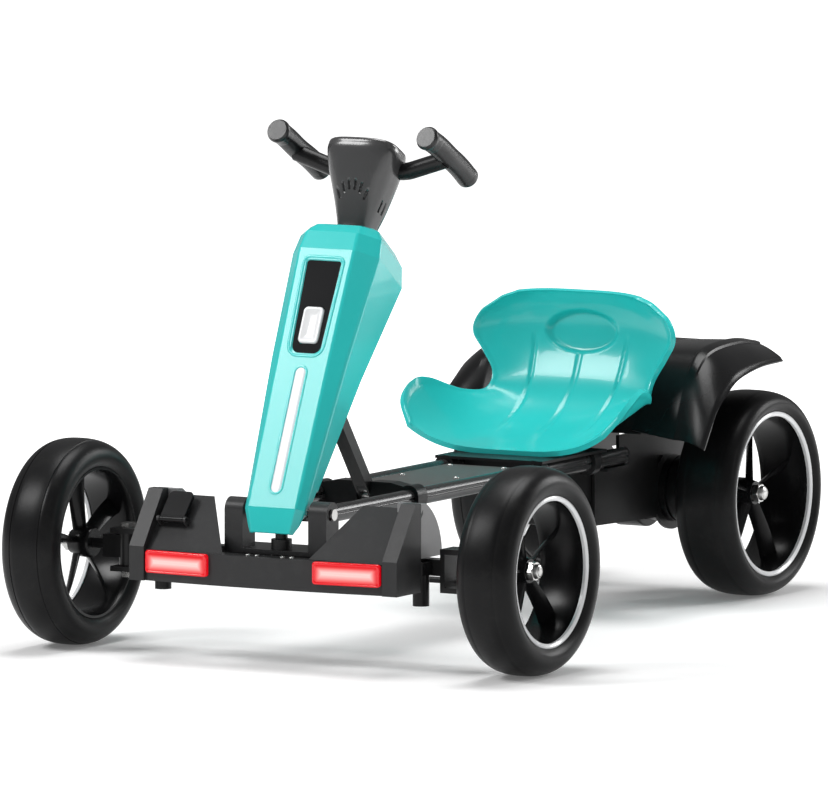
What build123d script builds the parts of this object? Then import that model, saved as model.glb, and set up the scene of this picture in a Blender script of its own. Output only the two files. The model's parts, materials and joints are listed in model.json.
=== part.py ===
from build123d import *
import math
import os

# Ride-on go-kart for a small child, driven by a battery.  Millimetres.
# X runs to the driver's left, the kart faces -Y, Z is up.
# The origin is on the floor, under the middle of the kart's box.

# ---- driving dimensions ----
FRONT_Y = -337.0
REAR_Y = 335.0
FRONT_TYRE = 200.0
FRONT_WIDTH = 60.0
FRONT_X = 250.0
REAR_TYRE = 204.0
REAR_WIDTH = 66.0
REAR_X = 127.0
AXLE = 10.0
KINGPIN_X = 190.0
KINGPIN = 8.0
STEER_ARM = 30.0

RAIL_X = 50.0
RAIL_Z = 146.0
RAIL_WIDE = 14.0
RAIL_TALL = 17.0
RAIL_FRONT = -366.0
RAIL_REAR = 215.0
RAIL_WALL = 2.0

FOLD_Y = -372.0
FOLD_Z = 146.0
FOOT_Y = -205.0
LINK = 167.0
FOOT_PIN = 8.0
LINK_ANGLE = 53.0
COLUMN_TILT = 26.5
STEER_TILT = 29.2
FOLD_TRAVEL = 30.0
SHAFT = 8.0
WALL = 2.4
FIT = 0.06
GAP = 0.4

NOSE_HALF = 147.0
NOSE_FRONT = -404.0
NOSE_LOW = 76.0
NOSE_BOW = 9.0
FIN = 16.0

FENDER_IN = 61.0
FENDER_OUT = 155.0
SEAT_THICK = 3.4

SIDES = {"left": 1, "right": -1}

os.makedirs("parts", exist_ok=True)


def save(piece, name):
    piece.part.label = name
    export_step(piece.part, f"parts/{name}.step")


def side_plane(x):
    """Profile plane for a piece pushed along +X from x: sketch (Y, Z)."""
    return Plane.YZ.offset(x)


def cross_plane(x, y, z):
    """Section plane for a piece pushed towards the front: sketch (X, Z)."""
    return Plane(origin=(x, y, z), x_dir=(1, 0, 0), z_dir=(0, -1, 0))


def axle_plane(side, x, y, z):
    """Half-section plane of a wheel: sketch (outwards, radius)."""
    return Plane(origin=(side * x, y, z), x_dir=(side, 0, 0), z_dir=(0, -side, 0))


def outward_plane(side, x, y, z):
    """Plane across a wheel's axis, with its normal outwards."""
    return Plane(origin=(side * x, y, z), x_dir=(0, 1, 0), z_dir=(side, 0, 0))


def tilted(angle):
    """Plane through the fold axis; its normal leans back from upright."""
    lean = math.radians(angle)
    return Plane(origin=(0, FOLD_Y, FOLD_Z), x_dir=(1, 0, 0),
                 z_dir=(0, math.sin(lean), math.cos(lean)))


def column_side(x):
    """Profile plane of the column: sketch (rearwards, along the column)."""
    lean = math.radians(COLUMN_TILT)
    return Plane(origin=(x, FOLD_Y, FOLD_Z),
                 x_dir=(0, math.cos(lean), -math.sin(lean)), z_dir=(1, 0, 0))


def block(x0, x1, y0, y1, z0, z1):
    """Box between two corners, for use inside a part block."""
    with Locations(((x0 + x1) / 2, (y0 + y1) / 2, (z0 + z1) / 2)):
        Box(abs(x1 - x0), y1 - y0, z1 - z0)


# ---- chassis: rails ----
with BuildPart() as rails:
    for side in SIDES.values():
        with BuildSketch(cross_plane(side * RAIL_X, RAIL_REAR, RAIL_Z)):
            SlotOverall(RAIL_TALL, RAIL_WIDE, rotation=90)
            with Locations((RAIL_WIDE / 2, 0), (-RAIL_WIDE / 2, 0)):
                Circle(1.2, mode=Mode.SUBTRACT)
            SlotOverall(RAIL_TALL - 2 * RAIL_WALL, RAIL_WIDE - 2 * RAIL_WALL, rotation=90,
                        mode=Mode.SUBTRACT)
        extrude(amount=RAIL_REAR - RAIL_FRONT)
save(rails, "rails")

with BuildPart() as rail_caps:
    for side in SIDES.values():
        with BuildSketch(cross_plane(side * RAIL_X, RAIL_REAR + 3, RAIL_Z)):
            SlotOverall(RAIL_TALL, RAIL_WIDE, rotation=90)
        extrude(amount=3)
save(rail_caps, "rail_caps")

# ---- chassis: front beam, yokes and kingpins ----
BEAM = 16.0
BEAM_Z = 98.0
BEAM_END = 161.0
YOKE_END = 203.0
YOKE_LOW = 75.0
YOKE_TOP = 117.0
YOKE_PLATE = 5.0

with BuildPart() as front_beam:
    with BuildSketch(side_plane(-BEAM_END)):
        with Locations((FRONT_Y, BEAM_Z)):
            RectangleRounded(BEAM, BEAM, 2)
            Rectangle(BEAM - 4, BEAM - 4, mode=Mode.SUBTRACT)
    extrude(amount=2 * BEAM_END)
save(front_beam, "front_beam")

with BuildPart() as yokes:
    for side in SIDES.values():
        with BuildSketch(cross_plane(0, FRONT_Y + 13, 0)):
            with BuildLine():
                Polyline(
                    (side * BEAM_END, YOKE_LOW), (side * YOKE_END, YOKE_LOW),
                    (side * YOKE_END, YOKE_LOW + YOKE_PLATE),
                    (side * (BEAM_END + YOKE_PLATE), YOKE_LOW + YOKE_PLATE),
                    (side * (BEAM_END + YOKE_PLATE), YOKE_TOP - YOKE_PLATE),
                    (side * YOKE_END, YOKE_TOP - YOKE_PLATE), (side * YOKE_END, YOKE_TOP),
                    (side * BEAM_END, YOKE_TOP), close=True)
            make_face()
        extrude(amount=26)
        with Locations((side * KINGPIN_X, FRONT_Y, (YOKE_LOW + YOKE_TOP) / 2)):
            Cylinder(KINGPIN / 2, YOKE_TOP - YOKE_LOW + 2, mode=Mode.SUBTRACT)
save(yokes, "yokes")

with BuildPart() as kingpin_bolts:
    for side in SIDES.values():
        with BuildSketch(Plane.XY.offset(YOKE_LOW - 6)):
            with Locations((side * KINGPIN_X, FRONT_Y)):
                Circle(KINGPIN / 2)
        extrude(amount=YOKE_TOP - YOKE_LOW + 6)
        with BuildSketch(Plane.XY.offset(YOKE_TOP)):
            with Locations((side * KINGPIN_X, FRONT_Y)):
                RegularPolygon(6.5, 6, major_radius=False)
        extrude(amount=4.5)
save(kingpin_bolts, "kingpin_bolts")

with BuildPart() as kingpin_nuts:
    for side in SIDES.values():
        with BuildSketch(Plane.XY.offset(YOKE_LOW - 6)):
            with Locations((side * KINGPIN_X, FRONT_Y)):
                RegularPolygon(6.5, 6, major_radius=False)
                Circle(KINGPIN / 2, mode=Mode.SUBTRACT)
        extrude(amount=6)
save(kingpin_nuts, "kingpin_nuts")

with BuildPart() as stand_pegs:
    for side in SIDES.values():
        block(side * 134, side * 150, FRONT_Y - 22, FRONT_Y - BEAM / 2, 92, 104)
        with BuildSketch(Plane.XY.offset(62)):
            with Locations((side * 142, FRONT_Y - 16)):
                Circle(8)
        extrude(amount=42)
save(stand_pegs, "stand_pegs")

# ---- knuckles: they turn on the kingpins and carry the front wheels ----
for name, side in SIDES.items():
    with BuildPart() as knuckle:
        low = YOKE_LOW + YOKE_PLATE + GAP
        tall = YOKE_TOP - YOKE_LOW - 2 * YOKE_PLATE - 2 * GAP
        with BuildSketch(Plane.XY.offset(low)):
            with Locations((side * KINGPIN_X, FRONT_Y)):
                Circle(9)
        extrude(amount=tall)
        block(side * KINGPIN_X, side * 214, FRONT_Y - 8, FRONT_Y + 8, 88, 110)
        with BuildSketch(Plane.XY.offset(85)):
            with BuildLine():
                x = side * KINGPIN_X
                Polyline((x - 7, FRONT_Y), (x - 5, FRONT_Y + STEER_ARM),
                         (x + 5, FRONT_Y + STEER_ARM), (x + 7, FRONT_Y), close=True)
            make_face()
            with Locations((x, FRONT_Y + STEER_ARM)):
                Circle(6)
        extrude(amount=4)
        with BuildSketch(Plane.XY.offset(78)):
            with Locations((x, FRONT_Y + STEER_ARM)):
                Circle(2.5)
        extrude(amount=8)
        with Locations((side * KINGPIN_X, FRONT_Y, 96)):
            Cylinder(KINGPIN / 2 + FIT, 60, mode=Mode.SUBTRACT)
        with BuildSketch(side_plane(side * 214)):
            with Locations((FRONT_Y, FRONT_TYRE / 2)):
                Circle(AXLE / 2)
        extrude(amount=side * 49)
    save(knuckle, f"knuckle_{name}")

PIN_SLOT = (10.8, 6.8)
with BuildPart() as tie_rod:
    rod_low = 80.0
    rod_thick = 3.6
    rod_y = FRONT_Y + STEER_ARM
    with BuildSketch(Plane.XY.offset(rod_low)):
        with Locations((0, rod_y - 1.5)):
            SlotOverall(2 * KINGPIN_X + 22, 18)
        with Locations((0, (rod_y + FOLD_Y + STEER_ARM) / 2)):
            RectangleRounded(18, 56, 6)
        pivots = [(KINGPIN_X, rod_y - 1.5), (-KINGPIN_X, rod_y - 1.5), (0, FOLD_Y + STEER_ARM - 1.5)]
        with Locations(*pivots):
            SlotOverall(*PIN_SLOT, rotation=90, mode=Mode.SUBTRACT)
    extrude(amount=rod_thick)
save(tie_rod, "tie_rod")

# ---- pitman shaft under the fold axis, with a slotted cup for the steering shaft ----
CUP_OUT = 10.0
CUP_IN = 6.6
CUP_TOP = FOLD_Z - 0.5

with BuildPart() as pitman:
    with BuildSketch(Plane.XY.offset(85)):
        with Locations((0, FOLD_Y)):
            Circle(6)
    extrude(amount=FOLD_Z - 95)
    with BuildSketch(Plane.XY.offset(FOLD_Z - 17)):
        with Locations((0, FOLD_Y)):
            Circle(CUP_OUT)
    extrude(amount=CUP_TOP - FOLD_Z + 17)
    with BuildSketch(Plane.XY.offset(FOLD_Z - 8)):
        with Locations((0, FOLD_Y)):
            Circle(CUP_IN)
            Rectangle(2 * CUP_OUT + 2, 8.5)
    extrude(amount=20, mode=Mode.SUBTRACT)
    with BuildSketch(Plane.XY.offset(85)):
        with Locations((0, FOLD_Y + STEER_ARM / 2)):
            SlotOverall(STEER_ARM + 12, 12, rotation=90)
    extrude(amount=4)
    with BuildSketch(Plane.XY.offset(78)):
        with Locations((0, FOLD_Y + STEER_ARM)):
            Circle(2.5)
    extrude(amount=8)
save(pitman, "pitman")

# ---- chassis: hinge bracket, fold pins and pitman bearing ----
EAR_IN = 36.0
EAR_OUT = 56.0

with BuildPart() as hinge_bracket:
    for side in SIDES.values():
        x0 = min(side * EAR_IN, side * EAR_OUT)
        with BuildSketch(side_plane(x0)):
            with Locations((FOLD_Y, 146)):
                Circle(12)
            with Locations((FOLD_Y, 126)):
                Rectangle(24, 40)
        extrude(amount=EAR_OUT - EAR_IN)
        with BuildSketch(side_plane(side * (EAR_IN - 1))):
            with Locations((FOLD_Y, FOLD_Z)):
                Circle(4)
        extrude(amount=side * (EAR_OUT - EAR_IN + 2), mode=Mode.SUBTRACT)
        with BuildSketch(cross_plane(side * RAIL_X, RAIL_FRONT + 8, RAIL_Z)):
            SlotOverall(RAIL_TALL, RAIL_WIDE, rotation=90)
        extrude(amount=20, mode=Mode.SUBTRACT)
    with BuildSketch(Plane.XY.offset(106)):
        with Locations((0, (FOLD_Y - 12 + FRONT_Y + BEAM / 2) / 2)):
            Rectangle(2 * EAR_OUT, FRONT_Y + BEAM / 2 - FOLD_Y + 12)
    extrude(amount=4)
    with BuildSketch(Plane.XY.offset(98)):
        with Locations((0, FOLD_Y)):
            Circle(10)
    extrude(amount=22)
    with Locations((0, FOLD_Y, 110)):
        Cylinder(6 + FIT, 60, mode=Mode.SUBTRACT)
save(hinge_bracket, "hinge_bracket")

with BuildPart() as hinge_pins:
    for side in SIDES.values():
        with BuildSketch(side_plane(side * 23.5)):
            with Locations((FOLD_Y, FOLD_Z)):
                Circle(4)
        extrude(amount=side * (EAR_OUT - 23.5))
        with BuildSketch(side_plane(side * EAR_OUT)):
            with Locations((FOLD_Y, FOLD_Z)):
                Circle(5.5)
        extrude(amount=side * 2.5)
    with BuildSketch(side_plane(-16)):
        with Locations((FOOT_Y, FOLD_Z)):
            Circle(FOOT_PIN / 2)
    extrude(amount=32)
save(hinge_pins, "hinge_pins")

# ---- chassis: saddle round the rails that holds the foot of the strut ----
SADDLE = 18.0
CHEEK_IN = 7.6

with BuildPart() as saddle:
    for side in SIDES.values():
        with BuildSketch(cross_plane(side * RAIL_X, FOOT_Y + SADDLE / 2, RAIL_Z)):
            SlotOverall(RAIL_TALL + 8, RAIL_WIDE + 8, rotation=90)
        extrude(amount=SADDLE)
        with BuildSketch(cross_plane(0, FOOT_Y + SADDLE / 2, 0)):
            with BuildLine():
                Polyline((side * CHEEK_IN, 131), (side * 44, 138), (side * 44, 157),
                         (side * 30, 160), (side * CHEEK_IN, 160), close=True)
            make_face()
        extrude(amount=SADDLE)
        with BuildSketch(cross_plane(side * RAIL_X, FOOT_Y + SADDLE, RAIL_Z)):
            SlotOverall(RAIL_TALL, RAIL_WIDE, rotation=90)
        extrude(amount=2 * SADDLE, mode=Mode.SUBTRACT)
    block(-CHEEK_IN, CHEEK_IN, FOOT_Y - SADDLE / 2, FOOT_Y + SADDLE / 2, 131, 134)
    with BuildSketch(side_plane(-16)):
        with Locations((FOOT_Y, FOLD_Z)):
            Circle(FOOT_PIN / 2)
    extrude(amount=32, mode=Mode.SUBTRACT)
save(saddle, "saddle")

FLOOR_TOP = 152.0
FLOOR_FRONT = -190.0
FLOOR_REAR = 20.0
with BuildPart() as floor_plate:
    block(-38.4, 38.4, FLOOR_FRONT, FLOOR_REAR, FLOOR_TOP - 3, FLOOR_TOP)
    for side in SIDES.values():
        with BuildSketch(cross_plane(0, FLOOR_REAR - 26, 0)):
            with BuildLine():
                Polyline((side * 38.4, FLOOR_TOP), (side * 41.5, FLOOR_TOP - 1), (side * 42.9, FLOOR_TOP - 4),
                         (side * 42.9, 140), (side * 39.9, 140), (side * 38.4, FLOOR_TOP - 3), close=True)
            make_face()
        extrude(amount=FLOOR_REAR - 26 - FLOOR_FRONT)
save(floor_plate, "floor_plate")

# ---- strut: a fork that straddles the steering shaft and slides in the post ----
FORK_IN = 4.8
FORK_OUT = 7.0
STRUT_DEEP = 12.0


def strut_plane(x):
    """Profile plane of the strut: sketch (from foot to top, forward-up side)."""
    lift = math.radians(LINK_ANGLE)
    return Plane(origin=(x, FOOT_Y, FOLD_Z), x_dir=(0, -math.cos(lift), math.sin(lift)),
                 z_dir=(-1, 0, 0))


with BuildPart() as strut:
    for side in SIDES.values():
        x = FORK_OUT if side > 0 else -FORK_IN
        with BuildSketch(strut_plane(x)):
            with Locations((LINK / 2, 0)):
                SlotOverall(LINK + STRUT_DEEP, STRUT_DEEP)
            Circle(FOOT_PIN / 2 + FIT, mode=Mode.SUBTRACT)
        extrude(amount=FORK_OUT - FORK_IN)
        with BuildSketch(strut_plane(side * FORK_IN)):
            with Locations((LINK, 0)):
                Circle(2.8)
        extrude(amount=-side * (11.6 - FORK_IN))
    with BuildSketch(strut_plane(FORK_IN)):
        with Locations((62, 0)):
            Rectangle(90, STRUT_DEEP)
            Rectangle(96, STRUT_DEEP - 4.4, mode=Mode.SUBTRACT)
        with Locations((62, 0)):
            Rectangle(12, STRUT_DEEP)
    extrude(amount=2 * FORK_IN)
save(strut, "strut")

# ---- column: covers, post and its fittings, all in the leaning frame ----
# each section: (along, front, middle, rear, half widths of front, middle, rear)
COLUMN_SECTIONS = [
    (-26, -12, -6, 1, 21, 26, 23),
    (-3, -19.7, -13, 3, 26, 33, 29),
    (15, -20.5, -13, 8, 27, 34, 29),
    (150, -26.4, -15, 41, 28, 42, 29),
    (258, -30.9, -11, 71, 30, 48, 32),
    (277, -28, -10, 66, 28, 45, 30),
    (287, -20, -8, 55, 23, 38, 25),
    (290, -13, -5, 46, 19, 32, 20),
]


def column_section(row, inset):
    """Six-sided rounded section, shrunk by inset for the hollow."""
    along, front, middle, rear, half_front, half_middle, half_rear = row
    points = [(half_front - inset, front + inset), (half_middle - inset, middle),
              (half_rear - inset, rear - inset)]
    outline = points + [(-x, y) for x, y in reversed(points)]
    with BuildSketch(tilted(COLUMN_TILT).offset(along)) as section:
        Polygon(*outline, align=None)
        fillet(section.vertices(), 2.2 if along < 0 else 4.5 - inset / 2)
    return section.sketch


def column_loft(inset, stretch):
    """Solid through the column's sections; stretch pushes the open foot down."""
    rows = [list(row) for row in COLUMN_SECTIONS]
    rows[0][0] -= stretch
    for row in rows[-3:]:
        row[0] -= inset
    return loft([column_section(row, inset) for row in rows], ruled=True)


column_skin = column_loft(0, 0) - column_loft(WALL, 1)
SEAM = -9.0
SLOT = 18.0
NECK = 9.0
NECK_LOW = 283.0
column_back = Box(200, 300, 500, align=(Align.CENTER, Align.MIN, Align.CENTER))
column_back = tilted(COLUMN_TILT).offset(150) * Pos(0, SEAM, 0) * column_back

FACE_LEAN = COLUMN_TILT - 2.5


def face_plane(along, lift):
    """Plane on the column's flat front, sketch (X, up the face), normal forwards."""
    tilt = math.radians(FACE_LEAN)
    base = tilted(COLUMN_TILT).from_local_coords(Vector(0, -19.7 - 0.0438 * (along + 3), along))
    return Plane(origin=base, x_dir=(1, 0, 0),
                 z_dir=(0, -math.cos(tilt), math.sin(tilt))).offset(lift)


WINDOW_MID = 199.0
ROCKER_LOW = -18.0
ROCKER_PIN = 1.0


def rocker_hinge(x):
    """Plane across the rocker's pin, which lies along X through the window."""
    pin = face_plane(WINDOW_MID, -2.6).from_local_coords(Vector(x, ROCKER_LOW, 0))
    return Plane(origin=pin, z_dir=(1, 0, 0))


STRIP_MID = 75.0
STRIP_LONG = 126.0

hinge_room = Plane(origin=(0, FOLD_Y, FOLD_Z), z_dir=(1, 0, 0)) * Cylinder(5, 90)
foot_room = tilted(COLUMN_TILT) * Pos(0, 8, -2) * Box(60.8, 33.8, 54)

with BuildPart() as column_front:
    add(column_skin - column_back - hinge_room)
    with BuildSketch(face_plane(WINDOW_MID, 2)):
        with BuildLine():
            Polyline((-19.5, 48), (19.5, 48), (16.5, -47), (-16.5, -47), close=True)
        make_face()
    extrude(amount=-8, mode=Mode.SUBTRACT)
    with BuildSketch(face_plane(STRIP_MID, 2)):
        SlotOverall(STRIP_LONG, 11.4, rotation=90)
    extrude(amount=-8, mode=Mode.SUBTRACT)
save(column_front, "column_front")

with BuildPart() as column_rear:
    add((column_skin & column_back) - hinge_room - foot_room)
    with BuildSketch(tilted(COLUMN_TILT).offset(100)):
        with Locations((0, 60)):
            Rectangle(SLOT, 90)
    extrude(amount=185, mode=Mode.SUBTRACT)
    with BuildSketch(tilted(STEER_TILT).offset(NECK_LOW - 3)):
        Circle(NECK)
    extrude(amount=15, mode=Mode.SUBTRACT)
save(column_rear, "column_rear")

with BuildPart() as column_window:
    with BuildSketch(face_plane(WINDOW_MID, -1.5)):
        with BuildLine():
            Polyline((-19.4, 47.9), (19.4, 47.9), (16.4, -46.9), (-16.4, -46.9), close=True)
        make_face()
        with Locations((0, ROCKER_LOW)):
            RectangleRounded(23, 38, 5, mode=Mode.SUBTRACT)
    extrude(amount=-2.2)
    with BuildSketch(rocker_hinge(-13)):
        Circle(ROCKER_PIN + FIT)
    extrude(amount=26, mode=Mode.SUBTRACT)
save(column_window, "column_window")

with BuildPart() as light_strip:
    with BuildSketch(face_plane(STRIP_MID, 0.4)):
        SlotOverall(STRIP_LONG - 0.2, 11.2, rotation=90)
    extrude(amount=-3)
save(light_strip, "light_strip")

with BuildPart() as power_rocker:
    with BuildSketch(face_plane(WINDOW_MID, 0.4)):
        with Locations((0, ROCKER_LOW)):
            RectangleRounded(21.6, 36.6, 4.4)
    extrude(amount=-5.5)
    with BuildSketch(rocker_hinge(-12.7)):
        Circle(ROCKER_PIN)
    extrude(amount=25.4)
save(power_rocker, "power_rocker")

SLOT_LOW = 149.0
SLOT_HIGH = 2 * LINK * math.cos(math.radians(63.5 - FOLD_TRAVEL))
POST_IN = 9.0
POST_OUT = 11.4

with BuildPart() as post:
    with BuildSketch(tilted(COLUMN_TILT).offset(16)):
        with BuildLine():
            Polyline((-POST_OUT, -10), (POST_OUT, -10), (POST_OUT, 7), (POST_IN, 7),
                     (POST_IN, -7.6), (-POST_IN, -7.6), (-POST_IN, 7), (-POST_OUT, 7), close=True)
        make_face()
    extrude(amount=270)
    for side in SIDES.values():
        with BuildSketch(column_side(side * POST_OUT)):
            with Locations((0, (SLOT_LOW + SLOT_HIGH) / 2)):
                SlotOverall(SLOT_HIGH - SLOT_LOW + 6.4, 6.2, rotation=90)
        extrude(amount=-side * 4, mode=Mode.SUBTRACT)
        with BuildSketch(tilted(COLUMN_TILT).offset(14)):
            with Locations((side * 18.4, -2)):
                Rectangle(14.4, 14)
        extrude(amount=5)
        with BuildSketch(column_side(side * 23.4)):
            Circle(8)
            with Locations((-2, 10)):
                Rectangle(14, 18)
            Circle(4 + FIT, mode=Mode.SUBTRACT)
        extrude(amount=side * 5)
save(post, "post")

with BuildPart() as shaft_bearings:
    with BuildSketch(tilted(STEER_TILT).offset(34)):
        Rectangle(17.6, 13)
        Circle(SHAFT / 2 + FIT, mode=Mode.SUBTRACT)
    extrude(amount=9)
    with BuildSketch(tilted(STEER_TILT).offset(NECK_LOW)):
        Circle(NECK - 0.1)
        Circle(SHAFT / 2 + FIT, mode=Mode.SUBTRACT)
    extrude(amount=6.5)
save(shaft_bearings, "shaft_bearings")

# ---- steering: shaft, head, bar and grips turn together ----
with BuildPart() as steering_shaft:
    with BuildSketch(tilted(STEER_TILT).offset(2)):
        Circle(3)
    extrude(amount=16)
    with BuildSketch(tilted(STEER_TILT).offset(14)):
        Circle(SHAFT / 2)
    extrude(amount=326)
    with Locations((0, FOLD_Y, FOLD_Z)):
        Sphere(6.2)
    with BuildSketch(side_plane(-9.4)):
        with Locations((FOLD_Y, FOLD_Z)):
            Circle(1.5)
    extrude(amount=18.8)
save(steering_shaft, "steering_shaft")
# ---- steering head: neck, gloss pod, handlebar arms and grips ----
# each section: (along, middle rearwards, half width, half depth)
HEAD_SECTIONS = [(292, 1, 17, 16), (318, -3, 24, 20), (346, -11, 33, 24), (366, -16, 37, 26),
                 (375, -17, 34, 23)]
BAR_Z = 358.0
BAR_X = 82.0
BAR = 17.0
BAR_RISE = 13.5
GRIP = 22.0
GRIP_LINE = [(82, -238, 498), (83, -216, 488), (83, -195, 476), (82, -172, 464), (81, -150, 450)]


def head_loft(inset):
    sections = []
    for along, middle, half_wide, half_deep in HEAD_SECTIONS:
        with BuildSketch(tilted(STEER_TILT).offset(along)) as section:
            with Locations((0, middle)):
                RectangleRounded(2 * (half_wide - inset), 2 * (half_deep - inset), 9 - inset)
        sections.append(section.sketch)
    return loft(sections)


with BuildPart() as steering_head:
    add(head_loft(0))
    with BuildSketch(tilted(STEER_TILT).offset(290)):
        Circle(SHAFT / 2)
    extrude(amount=70, mode=Mode.SUBTRACT)
    with BuildSketch(side_plane(-40)):
        center = tilted(STEER_TILT).from_local_coords(Vector(0, -2, BAR_Z))
        with Locations((center.Y, center.Z)):
            Circle(BAR / 2)
    extrude(amount=80, mode=Mode.SUBTRACT)
save(steering_head, "steering_head")

bar_mid = tilted(STEER_TILT).from_local_coords(Vector(0, -2, BAR_Z))
with BuildPart() as handlebar:
    with BuildLine() as bar_path:
        FilletPolyline((-BAR_X, bar_mid.Y, bar_mid.Z + BAR_RISE), (-40, bar_mid.Y, bar_mid.Z),
                       (40, bar_mid.Y, bar_mid.Z), (BAR_X, bar_mid.Y, bar_mid.Z + BAR_RISE), radius=40)
    with BuildSketch(Plane(origin=bar_path.line @ 0, z_dir=bar_path.line % 0)):
        Circle(BAR / 2)
    sweep()
    with BuildSketch(tilted(STEER_TILT).offset(BAR_Z - 30)):
        Circle(SHAFT / 2)
    extrude(amount=60, mode=Mode.SUBTRACT)
save(handlebar, "handlebar")

with BuildPart() as grips:
    for side in SIDES.values():
        with BuildLine() as grip_path:
            Spline(*[(side * x, y, z) for x, y, z in GRIP_LINE])
        with BuildSketch(Plane(origin=grip_path.line @ 0, z_dir=grip_path.line % 0)):
            Circle(GRIP / 2)
        sweep(path=grip_path.line)
        with BuildSketch(Plane(origin=grip_path.line @ 0, z_dir=grip_path.line % 0)):
            Circle(GRIP / 2 + 1)
        extrude(amount=3)
    add(handlebar.part, mode=Mode.SUBTRACT)
save(grips, "grips")

# ---- wheels ----
WHEELS = {
    "front": (FRONT_X, FRONT_Y, FRONT_TYRE / 2, FRONT_WIDTH, 73.0, 2.0),
    "rear": (REAR_X, REAR_Y, REAR_TYRE / 2, REAR_WIDTH, 82.0, 8.0),
}
RING = 5.0
HUB = 16.0
SPOKES = 5

for place, (x, y, radius, width, ring_out, hub_end) in WHEELS.items():
    for name, side in SIDES.items():
        half = width / 2
        axis = Axis((side * x, y, radius), (side, 0, 0))
        with BuildPart() as tyre:
            with BuildSketch(axle_plane(side, x, y, radius)):
                low = ring_out + (radius - ring_out) * 0.35
                with BuildLine():
                    Polyline((-half, low), (-half + 4, ring_out), (half - 4, ring_out), (half, low))
                    ThreePointArc((half, low), (half * 0.75, radius - 4), (half * 0.36, radius - 0.4))
                    ThreePointArc((half * 0.36, radius - 0.4), (0, radius), (-half * 0.36, radius - 0.4))
                    ThreePointArc((-half * 0.36, radius - 0.4), (-half * 0.75, radius - 4), (-half, low))
                make_face()
            revolve(axis=axis)
        save(tyre, f"tyre_{place}_{name}")

        with BuildPart() as ring:
            with BuildSketch(axle_plane(side, x, y, radius)):
                with Locations((half - 6, ring_out - RING / 2)):
                    Rectangle(4, RING)
            revolve(axis=axis)
        save(ring, f"ring_{place}_{name}")

        hub_start = -half + (8 if place == "front" else -2)
        with BuildPart() as rim:
            with BuildSketch(axle_plane(side, x, y, radius)):
                with BuildLine():
                    Polyline((-half + 4, ring_out), (half - 8, ring_out), (half - 8, ring_out - RING),
                             (-half + 4, ring_out - RING), close=True)
                make_face()
                with Locations(((hub_start + hub_end) / 2, HUB / 2)):
                    Rectangle(hub_end - hub_start, HUB)
            revolve(axis=axis)
            with BuildSketch(outward_plane(side, x + hub_end - 9, y, radius)):
                with PolarLocations(ring_out / 2, SPOKES, start_angle=90):
                    Trapezoid(ring_out - 8, 20, 84, rotation=0)
            extrude(amount=8)
            with BuildSketch(outward_plane(side, x - half - 10, y, radius)):
                Circle(AXLE / 2 + FIT)
            extrude(amount=width + 20, mode=Mode.SUBTRACT)
        save(rim, f"rim_{place}_{name}")

NUTS = {
    "front_nut_left": [(1, FRONT_X + 2 + GAP, FRONT_Y, FRONT_TYRE / 2)],
    "front_nut_right": [(-1, FRONT_X + 2 + GAP, FRONT_Y, FRONT_TYRE / 2)],
    "rear_nuts": [(side, REAR_X + 8 + GAP, REAR_Y, REAR_TYRE / 2) for side in (1, -1)],
}
for name, places in NUTS.items():
    with BuildPart() as hub_nut:
        for side, x, y, z in places:
            with BuildSketch(outward_plane(side, x, y, z)):
                RegularPolygon(8.5, 6, major_radius=False)
                Circle(AXLE / 2, mode=Mode.SUBTRACT)
            extrude(amount=6)
            with BuildSketch(outward_plane(side, x + 6, y, z)):
                Circle(7)
                Circle(AXLE / 2, mode=Mode.SUBTRACT)
            extrude(amount=5)
    save(hub_nut, name)

# ---- rear: axle, drive, sled and battery box ----
AXLE_Z = REAR_TYRE / 2
BARREL = 33.0
SLED_OUT = 42.6
SLED_IN = 39.0
BOX_HALF = 38.2
BOX_LOW = 84.0
BOX_TOP = 133.0

with BuildPart() as rear_axle:
    with BuildSketch(side_plane(-REAR_X - 19)):
        with Locations((REAR_Y, AXLE_Z)):
            Circle(AXLE / 2)
    extrude(amount=2 * REAR_X + 38)
save(rear_axle, "rear_axle")

with BuildPart() as gear_case:
    with BuildSketch(side_plane(-16)):
        with Locations((REAR_Y, AXLE_Z)):
            Circle(40)
            Circle(AXLE / 2, mode=Mode.SUBTRACT)
    extrude(amount=32)
    fillet(gear_case.faces().filter_by(Axis.X).edges().filter_by(lambda e: e.length > 100), 2)
save(gear_case, "gear_case")

with BuildPart() as drive_barrels:
    for side in SIDES.values():
        with BuildSketch(side_plane(side * 16)):
            with Locations((REAR_Y, AXLE_Z)):
                Circle(BARREL)
                Circle(AXLE / 2, mode=Mode.SUBTRACT)
        extrude(amount=side * 73)
        with BuildSketch(side_plane(side * 50)):
            with Locations((REAR_Y, AXLE_Z)):
                Circle(BARREL + 1)
                Circle(BARREL - 2, mode=Mode.SUBTRACT)
        extrude(amount=side * 3, mode=Mode.SUBTRACT)
save(drive_barrels, "drive_barrels")

with BuildPart() as sled:
    for side in SIDES.values():
        with BuildSketch(side_plane(side * SLED_IN)):
            with BuildLine():
                Polyline((172, 80), (300, 76), (300, 137), (372, 137), (372, 165), (222, 165),
                         (222, 137), (172, 137), close=True)
            make_face()
            with Locations((REAR_Y, AXLE_Z)):
                Circle(41)
                Circle(BARREL, mode=Mode.SUBTRACT)
        extrude(amount=side * (SLED_OUT - SLED_IN))
        block(side * SLED_OUT, side * 57, 172, RAIL_REAR, 134.5, 137.5)
    block(-SLED_OUT, SLED_OUT, 172, 290, 80, BOX_LOW)
save(sled, "sled")

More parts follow.
